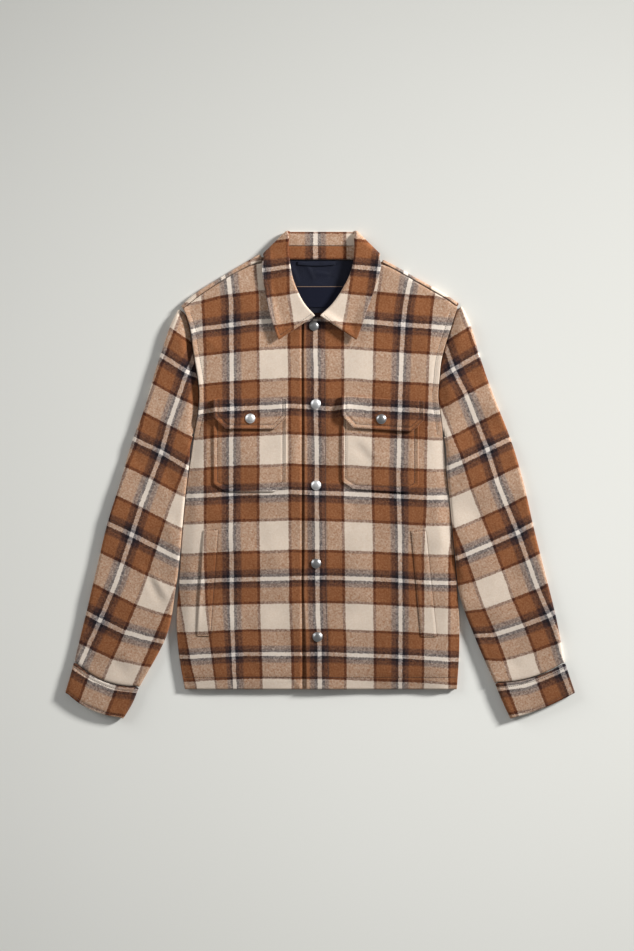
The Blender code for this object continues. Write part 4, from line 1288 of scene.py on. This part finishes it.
def add_sleeve(side):
    rings = np.array(sleeve_rings(side, SLEEVE_COLUMNS))
    piece = bent_grid(f"sleeve_{side}_cloth", rings, sleeve_cloth(side, rings), closed=True)
    give_wall(piece, WALL, WOOL)
    places, _ = points_of(piece)
    high = smooth((places[:, 2] - WALL) / (FRONT_MID - WALL))
    x, y = places[:, 0], places[:, 1]
    below = smooth((SLEEVE_PRESSED_Y - y) / SLEEVE_PRESSED_RISE)
    near = smooth(np.abs(x - side_x(side, y)) / SLEEVE_EASE + below)
    wave = rippled(x, y, SLEEVE_SEED[side], SLEEVE_WAVE_HEIGHT) * near
    beside = smooth((y - SLEEVE_PRESSED_Y) / SLEEVE_PRESSED_RISE)
    pressed = 1 - (1 - near) * SLEEVE_PRESSED[side] * beside
    places[:, 2] = places[:, 2] * pressed + high * (creased(x, y, SLEEVE_CREASES[side]) + wave)
    put_points(piece, places)
    return piece


def add_cuff(side):
    rings = np.array(cuff_rings(side, SLEEVE_COLUMNS))
    piece = bent_grid(f"cuff_{side}_cloth", rings, cuff_cloth(side, rings), closed=True)
    give_wall(piece, CUFF_WALL, WOOL)
    return piece


def add_stand():
    rows = np.array(collar_rows("stand"))
    piece = bent_grid("collar_stand_cloth", rows, band_cloth(rows, STAND_ROW, 0.0))
    give_wall(piece, COLLAR_WALL, WOOL)
    return piece


def add_leaf():
    rows = np.array(collar_rows("leaf"))
    band = band_cloth(rows, BAND_ROW, 0.5)
    fall = np.concatenate([
        fall_cloth("right", rows[:COLLAR_HALF_ROWS - 1]),
        fall_cloth("left", rows[COLLAR_HALF_ROWS - 1:]),
    ])
    beside = np.abs(np.arange(len(rows)) - (len(rows) - 1) / 2) > LEAF_BACK_ROWS
    band = np.where(beside[:, None, None], CREAM_PLACE, band)
    from_middle = np.abs(np.arange(len(rows) - 1) + 0.5 - (len(rows) - 1) / 2)
    crest = np.where(from_middle > LEAF_BACK_ROWS, LEAF_SIDE_CREST, LEAF_CREST)
    piece = bent_grid("collar_leaf_cloth", rows, band, beyond=fall, beyond_column=crest)
    give_wall(piece, COLLAR_WALL, WOOL)
    places, _ = points_of(piece)
    height = LEAF_RAISED + LEAF_TIP_RAISED * smooth((LEAF_TIP_START - places[:, 1]) / LEAF_TIP_RISE)
    for side in ("right", "left"):
        near = smooth(1 - far_from(places[:, :2], leaf_edge(side)) / LEAF_RAISED_WIDTH)
        places[:, 2] += height * near * (places[:, 2] > COLLAR_MID)
    put_points(piece, places)
    return piece


def add_lining():
    rows = []
    for y, half in spline(LINING_ROWS, LINING_STEPS):
        x = np.linspace(-half, half, LINING_STEPS) + collar_line_x(y)
        rows.append(np.column_stack([x, np.full_like(x, y), np.full_like(x, LINING_MID)]))
    rows = np.array(rows)
    piece = bent_grid("neck_lining_cloth", rows, rows[..., :2])
    give_wall(piece, LINING_WALL, NAVY)
    places, normals = points_of(piece)
    upper = normals[:, 2] > LINING_UPPER
    puckers = creased(places[:, 0], places[:, 1], LINING_CREASES)
    places[:, 2] += np.clip(puckers, *LINING_PUCKERS) * upper
    put_points(piece, places)
    return piece


def fine_strip(name, centre, size, bow, height, wall, material, rows=6, columns=60):
    share = np.linspace(-1.0, 1.0, columns)
    sag = bow * (share**2 - 1)
    lines = []
    for edge in np.linspace(-0.5, 0.5, rows):
        x = centre[0] + share * size[0] / 2
        y = centre[1] + edge * size[1] + sag
        lines.append(np.column_stack([x, y, np.full_like(x, height)]))
    lines = np.array(lines)
    across = lines[..., 0] - centre[0] + size[0] / 2
    up = lines[..., 1] - centre[1] + size[1] / 2
    place = np.stack([across, up], axis=-1)
    piece = bent_grid(name, lines, place)
    give_wall(piece, wall, material)
    return piece


def fine_chamfered(top_left, tilt, width, depth, chamfer, step):
    """Points of a pocket or flap, bottom to top, with its two lower corners cut off."""
    chamfer_x, chamfer_y = chamfer
    low = np.linspace(-depth, -depth + chamfer_y, max(4, round(chamfer_y / step)))
    high = np.linspace(-depth + chamfer_y, 0.0, round((depth - chamfer_y) / step))[1:]
    edges = np.array([0.0, 0.9, 2.0])
    across = np.concatenate([edges / width, np.linspace(3.4 / width, 1 - 3.4 / width, round(width / step)),
                             1 - edges[::-1] / width])
    levels = np.concatenate([[-depth, -depth + 0.9], low[1:], high[:-1], [-0.9, 0.0]])
    slope = math.tan(math.radians(tilt))
    rows = []
    for y in levels:
        inset = max(0.0, chamfer_x * (1 - (y + depth) / chamfer_y))
        x = inset + (width - 2 * inset) * across
        rows.append(np.column_stack([top_left[0] + x, top_left[1] + x * slope + y]))
    return np.array(rows)


def add_pocket(side, top_left, tilt, width):
    start = (top_left[0], top_left[1] - POCKET_BELOW_FLAP)
    plan = fine_chamfered(start, tilt, width, POCKET_DEPTH, POCKET_CHAMFER, 4.0)
    rows = on_front(side, plan, GAP + POCKET_WALL / 2)
    piece = bent_grid(f"chest_pocket_{side}_cloth", rows, body_cloth(rows))
    give_wall(piece, POCKET_WALL, WOOL)
    lift_body(piece)
    return piece


def add_flap(side, top_left, tilt, width, depth):
    plan = fine_chamfered(top_left, tilt, width, depth, FLAP_CHAMFER, 3.0)
    rows = on_front(side, plan, GAP + POCKET_WALL + GAP + FLAP_WALL / 2)
    piece = bent_grid(f"pocket_flap_{side}_cloth", rows, body_cloth(rows))
    give_wall(piece, FLAP_WALL, WOOL)
    lift_body(piece)
    places, _ = points_of(piece)
    places[:, 2] += flap_lift(side, places[:, 0], places[:, 1])
    put_points(piece, places)
    return piece


def flap_lift(side, x, y):
    """How far a flap stands off its pocket towards its lower edge and its left side."""
    _, left, top, tilt, _, _, depth = CHEST[side]
    down = (top + (x - left) * math.tan(math.radians(tilt)) - y) / depth
    beside = np.exp(-(((x - left) / FLAP_SIDE_WIDTH) ** 2))
    return FLAP_LIFT * smooth(down) + FLAP_SIDE_LIFT[side] * beside * smooth(3 * down)


def add_welt(side, ends):
    rows = []
    for share in np.linspace(0.0, 1.0, WELT_ROWS):
        y, outer, inner = np.array(ends[0]) * (1 - share) + np.array(ends[1]) * share
        x = np.linspace(outer, inner, WELT_COLUMNS)
        rows.append(np.column_stack([x, np.full_like(x, y)]))
    rows = on_front(side, np.array(rows), GAP + WELT_WALL / 2)
    piece = bent_grid(f"hand_welt_{side}_cloth", rows, body_cloth(rows))
    give_wall(piece, WELT_WALL, WOOL)
    lift_body(piece)
    places, _ = points_of(piece)
    slit = np.array([(outer, y) for y, outer, _ in ends], float)
    middle = np.clip((places[:, 1] - ends[0][0]) / (ends[1][0] - ends[0][0]), 0, 1)
    near = smooth(1 - far_from(places[:, :2], slit) / WELT_OPEN_WIDTH)
    places[:, 2] += WELT_OPEN[side] * near * np.sin(math.pi * middle)
    put_points(piece, places)
    press(piece, [slit], SLIT_PRESSED[side], SLIT_PRESSED_WIDTH)
    return piece


def turned_cap(name, x, y, base, steel):
    """A round cap: a disc extruded and resized along its profile, from its seat over the dome."""
    centre = Vector((x * MM, y * MM, base * MM))
    radius, height = CAP_PROFILE[0]
    bpy.ops.object.select_all(action="DESELECT")
    bpy.ops.mesh.primitive_circle_add(
        vertices=CAP_SIDES, radius=radius * MM, fill_type="NGON", location=centre
    )
    piece = bpy.context.object
    piece.name = name
    bpy.ops.object.mode_set(mode="EDIT")
    bpy.ops.mesh.select_all(action="SELECT")
    for next_radius, next_height in CAP_PROFILE[1:]:
        rise = (0.0, 0.0, (next_height - height) * MM)
        bpy.ops.mesh.extrude_region_move(TRANSFORM_OT_translate={"value": rise})
        size = next_radius / radius
        bpy.ops.transform.resize(value=(size, size, 1.0), center_override=centre)
        radius, height = next_radius, next_height
    bpy.ops.mesh.select_all(action="SELECT")
    bpy.ops.mesh.normals_make_consistent(inside=False)
    bpy.ops.object.mode_set(mode="OBJECT")
    bpy.ops.object.transform_apply(location=True, rotation=True, scale=True)
    bpy.ops.object.shade_smooth_by_angle(angle=math.radians(50))
    piece.data.name = name
    piece.data.materials.append(steel)
    return piece


def add_caps():
    for name, side, x, y, carrier in SNAPS:
        base = float(front_mid(side, x, y)) + WALL / 2 + GAP
        if carrier == "flap":
            base += GAP + POCKET_WALL + FLAP_WALL + GAP + float(flap_lift(side, x, y))
        base += float(body_lift(np.array([float(x)]), np.array([float(y)]))[0])
        # Some caps take the darker copy of the steel, painted shade.
        steel = SHADED_STEEL if name in SHADED_CAPS else STEEL
        dress(turned_cap(name + "_cap", x, y, base, steel), "snap_steel", name)


def evenly(line, step):
    """Points along a line of points, a step apart."""
    line = np.asarray(line, float)
    ends = np.concatenate([[0.0], np.cumsum(np.linalg.norm(np.diff(line, axis=0), axis=1))])
    at = np.linspace(0.0, ends[-1], max(2, round(ends[-1] / step) + 1))
    return np.column_stack([np.interp(at, ends, line[:, 0]), np.interp(at, ends, line[:, 1])])


def inset_line(points, margin):
    """A line of points moved sideways to its left, its corners kept sharp."""
    points = np.asarray(points, float)
    along = np.diff(points, axis=0)
    along /= np.linalg.norm(along, axis=1)[:, None]
    aside = np.stack([-along[:, 1], along[:, 0]], axis=1) * margin
    moved = [points[0] + aside[0]]
    for k in range(1, len(points) - 1):
        half = aside[k - 1] + aside[k]
        half /= np.linalg.norm(half)
        moved.append(points[k] + half * margin * margin / (half @ aside[k]) * np.sign(margin))
    moved.append(points[-1] + aside[-1])
    return np.array(moved)


def stitch_model():
    """The points and faces of one stitch, 1 long, 1 wide and 1 high."""
    bpy.ops.object.select_all(action="DESELECT")
    bpy.ops.mesh.primitive_uv_sphere_add(segments=6, ring_count=5, radius=0.5)
    model = bpy.context.object
    points = np.array([vertex.co[:] for vertex in model.data.vertices])
    faces = [tuple(face.vertices) for face in model.data.polygons]
    bpy.data.objects.remove(model, do_unlink=True)
    turned = points[:, [2, 0, 1]]
    turned[:, 0] = np.sign(turned[:, 0]) * 0.5 * np.abs(2 * turned[:, 0]) ** 0.6
    return turned, faces


def height_under(x, y, pieces):
    """The top of the pieces under a place, in millimetres, or None where there is none."""
    best = None
    start = Vector((x * MM, y * MM, LOOK_FROM))
    for piece in pieces:
        found, place, _, _ = piece.ray_cast(start, Vector((0, 0, -1)))
        if found and (best is None or place.z / MM > best):
            best = place.z / MM
    return best


def sew(name, lines, pieces, slot, thread):
    """Runs of stitches along lines, each pulled a little into the pieces under it."""
    points, faces = STITCH
    bpy.context.view_layer.update()
    all_points, all_faces = [], []
    for line in lines:
        spots = evenly(line, STITCH_PITCH)
        for start, end in zip(spots[:-1], spots[1:]):
            middle = (start + end) / 2
            reach = (end - start) / np.linalg.norm(end - start) * STITCH_LENGTH / 2
            ends = []
            for spot in (middle - reach, middle + reach):
                level = height_under(spot[0], spot[1], pieces)
                if level is not None:
                    ends.append(np.array([spot[0], spot[1], level - STITCH_SUNK]))
            if len(ends) < 2 or abs(ends[0][2] - ends[1][2]) > STITCH_STEP:
                continue
            along = ends[1] - ends[0]
            long = np.linalg.norm(along)
            along /= long
            aside = np.cross([0.0, 0.0, 1.0], along)
            aside /= np.linalg.norm(aside)
            up = np.cross(along, aside)
            first = len(all_points) * len(points)
            centre = (ends[0] + ends[1]) / 2
            placed = centre + points[:, :1] * along * long
            placed = placed + points[:, 1:2] * aside * STITCH_WIDTH + points[:, 2:] * up * STITCH_HEIGHT
            all_points.append(placed)
            all_faces.extend(tuple(first + corner for corner in face) for face in faces)
    mesh = bpy.data.meshes.new(name)
    mesh.from_pydata([tuple(point * MM) for point in np.vstack(all_points)], [], all_faces)
    piece = bpy.data.objects.new(name, mesh)
    bpy.context.scene.collection.objects.link(piece)
    only(piece)
    bpy.ops.object.shade_smooth()
    mesh.materials.append(thread)
    return dress(piece, slot)


def pocket_outline(top_left, tilt, width, depth, chamfer):
    """Corners of a pocket or flap from its top left, down and round to its top right."""
    chamfer_x, chamfer_y = chamfer
    corners = np.array([
        (0, 0), (0, -depth + chamfer_y), (chamfer_x, -depth), (width - chamfer_x, -depth),
        (width, -depth + chamfer_y), (width, 0),
    ], float)
    slope = math.tan(math.radians(tilt))
    return np.array(top_left) + corners + np.column_stack([np.zeros(6), corners[:, 0] * slope])


def armhole_line(side):
    y = np.linspace(*ARMHOLE_STITCH_ENDS, ARMHOLE_STITCH_POINTS)
    x = side_x(side, y) - sign_of(side) * ARMHOLE_MARGIN
    return np.column_stack([x, y])


def hem_line(side):
    table = RIGHT_FRONT_ROWS if side == "right" else LEFT_FRONT_ROWS
    outer = side_x(side, HEM_STITCH_Y) - sign_of(side) * HEM_STITCH_INSET
    return evenly([(outer, HEM_STITCH_Y), (table[0][1], HEM_STITCH_Y)], HEM_STITCH_POINTS_APART)


def leaf_edge(side):
    """The outer and front edge of the collar on one side of the neck."""
    fine = spline(COLLAR_STATIONS, FINE_STEPS, even=False)
    fine = fine[fine[:, 6] > LEAF_EDGE_TURN]
    edge = np.column_stack([collar_line_x(fine[:, 5]) + sign_of(side) * fine[:, 4], fine[:, 5]])
    front = np.array([collar_line_x(fine[-1, 3]) + sign_of(side) * fine[-1, 2], fine[-1, 3]])
    return np.vstack([edge, front])


def leaf_lines():
    """The topstitched line inside the collar's edge, on each side of the neck."""
    return [inset_line(leaf_edge("right"), LEAF_MARGIN), inset_line(leaf_edge("left"), -LEAF_MARGIN)]


def cuff_lines(side):
    table = RIGHT_CUFF_ROWS if side == "right" else LEFT_CUFF_ROWS
    fine = spline(table, CUFF_LINE_STEPS)
    at = np.linspace(*CUFF_STITCH_SHARES, CUFF_LINE_STEPS)
    no_bend = np.zeros((CUFF_LINE_STEPS, 2))
    lines = []
    for row in (CUFF_STITCH_ROW, CUFF_LINE_STEPS - 1 - CUFF_STITCH_ROW):
        outer, inner, bow = fine[row, :2], fine[row, 2:4], fine[row, 4]
        line = rows_between(outer[None], inner[None], np.array([bow]), np.zeros(1), no_bend, at)[0]
        lines.append(line)
    return lines


def add_stitches(pieces):
    for side in ("right", "left"):
        front = pieces["front_" + side]
        lines = [armhole_line(side), hem_line(side)]
        edge = None
        if side == "left":
            lines.append(np.array(PLACKET_STITCH, float))
            edge = np.array([(row[1], row[2]) for row in LEFT_FRONT_ROWS], float)
        press(front, lines, GROOVE_DEPTH, GROOVE_WIDTH, 0.0, edge, PLACKET_BEAD)
        sew(f"stitches_front_{side}", lines, [front], "front_" + side, THREAD)
        _, x, y, tilt, pocket_width, flap_width, flap_depth = CHEST[side]
        outline = pocket_outline((x, y), tilt, pocket_width, POCKET_DEPTH, POCKET_CHAMFER)
        lines = [inset_line(outline, POCKET_MARGIN)]
        press(pieces["pocket_" + side], lines, GROOVE_DEPTH, GROOVE_WIDTH, 0.0, outline, BEAD_HEIGHT)
        sew(f"stitches_pocket_{side}", lines, [pieces["pocket_" + side]], "chest_pocket_" + side, THREAD)
        outline = pocket_outline((x, y), tilt, flap_width, flap_depth, FLAP_CHAMFER)
        lines = [inset_line(outline, margin) for margin in FLAP_MARGINS]
        press(pieces["flap_" + side], lines[1:], GROOVE_DEPTH, GROOVE_WIDTH, 0.0, outline, BEAD_HEIGHT)
        sew(f"stitches_flap_{side}", lines, [pieces["flap_" + side]], "pocket_flap_" + side, THREAD)
        lines = [plan_of(line) for line in WELT_STITCHES[side]]
        carriers = [pieces["welt_" + side], front]
        press(pieces["welt_" + side], lines, WELT_PRESSED, GROOVE_WIDTH)
        sew(f"stitches_welt_{side}", lines, carriers, "hand_welt_" + side, THREAD)
        lines = cuff_lines(side)
        press(pieces["cuff_" + side], lines, GROOVE_DEPTH, GROOVE_WIDTH)
        sew(f"stitches_cuff_{side}", lines, [pieces["cuff_" + side]], "cuff_" + side, THREAD)
    lines = leaf_lines()
    press(pieces["leaf"], lines, GROOVE_DEPTH, GROOVE_WIDTH, above=COLLAR_MID)
    sew("stitches_collar", lines, [pieces["leaf"]], "collar_leaf", THREAD)


def add_floor():
    bpy.ops.object.select_all(action="DESELECT")
    bpy.ops.mesh.primitive_plane_add(size=FLOOR_SIZE, location=(0, 0, FLOOR_LEVEL))
    floor = bpy.context.object
    floor.name = "table_top"
    floor.data.materials.append(floor_material("pale_table"))


def add_light(name, azimuth, elevation, distance, size, power, colour):
    """A soft area light that shines at the origin, seen from there at an azimuth from +X."""
    bpy.ops.object.light_add(type="AREA")
    light = bpy.context.object
    light.name = name
    light.data.shape = "DISK"
    light.data.size = size
    light.data.energy = power
    light.data.color = colour
    turn, rise = math.radians(azimuth), math.radians(elevation)
    way = Vector((math.cos(rise) * math.cos(turn), math.cos(rise) * math.sin(turn), math.sin(rise)))
    light.location = way * distance
    light.rotation_euler = way.to_track_quat("Z", "Y").to_euler()


def add_lights_and_camera():
    scene = bpy.context.scene
    world = bpy.data.worlds.new("studio")
    scene.world = world
    world.use_nodes = True
    world.node_tree.nodes["Background"].inputs["Color"].default_value = (1.0, 1.0, 0.995, 1.0)
    world.node_tree.nodes["Background"].inputs["Strength"].default_value = AMBIENT
    for light in LIGHTS:
        add_light(*light)
    data = bpy.data.cameras.new("camera")
    data.sensor_width = SENSOR_WIDTH
    data.sensor_fit = "AUTO"
    data.lens = data.sensor_width * CAMERA_HEIGHT / (PHOTO_SIZE[1] * PIXEL * MM)
    camera = bpy.data.objects.new("camera", data)
    scene.collection.objects.link(camera)
    x, y = plan_of([(PHOTO_SIZE[0] / 2, PHOTO_SIZE[1] / 2)])[0] * MM
    camera.location = (x, y, CAMERA_HEIGHT + CAMERA_OVER * MM)
    scene.camera = camera
    scene.view_settings.view_transform = "Standard"


# Finishing sizes
BACK_SHIFT = np.array([0.059, 0.0])  # the back's cloth lies this far from the fronts', in repeats
LEAF_CREST = 8  # the column of the collar's section where its crest lies
LEAF_SIDE_CREST = 5  # where the turned part's cloth starts beside the neck
LEAF_BACK_ROWS = 37
CREAM_PLACE = 0.5  # the middle of a cream stripe, all that shows of the inside beside the neck
LINING_CREASES = (
    (-22, 348, -10, 322, 3, 0.7),
    (28, 350, 16, 325, 3, -0.6),
    (-48, 345, -36, 320, 4, 0.6),
    (42, 338, 50, 312, 4, 0.5),
    (-12, 334, 24, 330, 3, 0.5),
)
LINING_STEPS = 30
LINING_UPPER = 0.3  # faces that look up more than this belong to the upper side
LINING_PUCKERS = (-0.2, 1.2)  # the lowest and the highest that the lining may lie
CAP_SIDES = 48
# Painted shade: these caps take a darker copy of the same steel, shade painted into their colour.
SHADED_CAPS = ("snap_1", "snap_4", "snap_5", "flap_snap_left")
CAP_PROFILE = (
    (7.4, 0.0), (8.0, 0.35), (8.05, 0.8), (7.7, 1.15), (7.1, 1.22), (6.8, 1.1), (6.6, 1.25),
    (6.0, 1.7), (5.1, 2.15), (4.0, 2.5), (2.8, 2.75), (1.5, 2.88), (0.4, 2.92),
)
STITCH_PITCH = 3.3
STITCH_LENGTH = 2.5
STITCH_WIDTH = 1.1
STITCH_HEIGHT = 0.5
STITCH_SUNK = 0.05
STITCH_STEP = 1.5  # a stitch that would climb more than this is left out
LOOK_FROM = 0.1  # metres over the table, above all pieces
GROOVE_DEPTH = 0.85
GROOVE_WIDTH = 1.5
WELT_PRESSED = 0.8  # along a hand pocket's stitches, most of its wall
EDGE_BEAD = 5.5
BEAD_HEIGHT = 0.5
PLACKET_BEAD = 0.5
FLAP_LIFT = 0.7
FLAP_SIDE_WIDTH = 14.0
FLAP_SIDE_LIFT = {"right": 1.0, "left": 2.4}
LEAF_RAISED = 1.9
LEAF_RAISED_WIDTH = 18.0
LEAF_TIP_RAISED = 1.7  # more towards the collar's front ends
LEAF_TIP_START = 300.0
LEAF_TIP_RISE = 30.0
WELT_OPEN = {"right": 1.3, "left": 0.0}  # how far a hand pocket's edge stands open in its middle
WELT_OPEN_WIDTH = 8.0
SLIT_PRESSED = {"right": 0.0, "left": 0.9}  # how far a pocket's edge is pressed thin
SLIT_PRESSED_WIDTH = 3.0
WELT_ROWS = 50
WELT_COLUMNS = 9
ARMHOLE_MARGIN = 9.0
ARMHOLE_STITCH_ENDS = (66, 268)
ARMHOLE_STITCH_POINTS = 40
HEM_STITCH_Y = -334.0
HEM_STITCH_INSET = 3
HEM_STITCH_POINTS_APART = 8.0
PLACKET_STITCH = ((8, 222), (8, 206), (9, 58), (9, -107), (10, -190), (14, -334))
POCKET_MARGIN = 6.6
FLAP_MARGINS = (1.8, 7.2)
LEAF_MARGIN = 5.6
LEAF_EDGE_TURN = 60  # the collar's edge is free where its fall is turned over more than this
CUFF_LINE_STEPS = 30
CUFF_STITCH_ROW = 3
CUFF_STITCH_SHARES = (0.02, 0.98)  # where a cuff's stitches start and end across it
WELT_STITCHES = {
    "right": (
        ((205, 530.2), (218, 529.6)),
        ((218.5, 530), (212, 614.8), (211, 634)),
        ((198, 634.4), (210.6, 634.4)),
    ),
    "left": (
        ((412, 531.2), (425, 530.6)),
        ((411, 532.4), (420.6, 634.4)),
        ((421, 635), (434, 636.2)),
    ),
}
CHEST = {row[0]: row for row in CHEST_POCKETS}
AMBIENT = 0.2
# Lights. Columns: name, azimuth, elevation, distance and size in metres, power, colour.
LIGHTS = (
    ("key", 28.5, 19, 7.64, 1.2, 1140.0, (1.0, 0.995, 0.98)),
    ("fill", 150, 18, 8.0, 4.0, 300.0, (1.0, 1.0, 1.0)),
)
FLOOR_SIZE = 14.0  # metres
FLOOR_LEVEL = -0.0002  # just under what rests on it
FLOOR_PAINTED_LIGHT_PEAK = 1.02  # tone of the table's colour where its painted pool of light is brightest
FLOOR_PAINTED_LIGHT_FALL = ((0, 0.25, 0.17), (1, -0.27, 0.23))  # painted pool of light: axis, where it is brightest, loss of colour at a metre
SENSOR_WIDTH = 36.0
CAMERA_HEIGHT = 4.0  # metres over the level at which the photograph's scale holds
CAMERA_OVER = 8.0  # that level, in millimetres
WEAVE = plaid_group()
WOOL = wool_material("plaid_wool")
NAVY = navy_material("navy_lining", plain(15, 19, 36), 30.0)
TAPE = navy_material("navy_tape", plain(20, 24, 40), 60.0)
LABEL = label_material("navy_label", plain(9, 13, 30), plain(140, 116, 98))
THREAD = thread_material("brown_thread", plain(48, 28, 21))
STEEL = steel_material("brushed_steel", plain(222, 222, 222), plain(250, 250, 250), 0.5)
# Painted shade: a darker copy of the same steel, for caps that lie in shade.
SHADED_STEEL = steel_material("shaded_steel", plain(150, 150, 150), plain(196, 196, 196), 0.4)
STITCH = stitch_model()


def main():
    add_floor()
    add_lights_and_camera()
    pieces = {"back": add_back()}
    for side in ("right", "left"):
        pieces["front_" + side] = add_front(side)
        pieces["sleeve_" + side] = add_sleeve(side)
        pieces["cuff_" + side] = add_cuff(side)
    pieces["stand"] = add_stand()
    pieces["leaf"] = add_leaf()
    pieces["lining"] = add_lining()
    on_lining = LINING_MID + LINING_WALL / 2 + GAP
    label_mid = on_lining + LABEL_WALL / 2
    loop_mid = on_lining + LOOP_WALL / 2
    pieces["label"] = fine_strip(
        "neck_label_cloth", LABEL_CENTRE, LABEL_SIZE, 0.0, label_mid, LABEL_WALL, LABEL, 24, 50
    )
    pieces["loop"] = fine_strip(
        "hanger_loop_tape", LOOP_CENTRE, LOOP_SIZE, LOOP_BOW, loop_mid, LOOP_WALL, TAPE
    )
    for side, x, y, tilt, pocket_width, flap_width, flap_depth in CHEST_POCKETS:
        pieces["pocket_" + side] = add_pocket(side, (x, y), tilt, pocket_width)
        pieces["flap_" + side] = add_flap(side, (x, y), tilt, flap_width, flap_depth)
    for side, ends in HAND_WELTS:
        pieces["welt_" + side] = add_welt(side, ends)
    slots = {
        "stand": "collar_stand", "leaf": "collar_leaf", "lining": "neck_lining", "label": "neck_label",
        "loop": "hanger_loop",
    }
    for part, slot in (("pocket", "chest_pocket"), ("flap", "pocket_flap"), ("welt", "hand_welt")):
        for side in ("right", "left"):
            slots[f"{part}_{side}"] = f"{slot}_{side}"
    for key, piece in pieces.items():
        slot = slots.get(key, key)
        dress(piece, slot, slot)
    add_caps()
    add_stitches(pieces)


main()
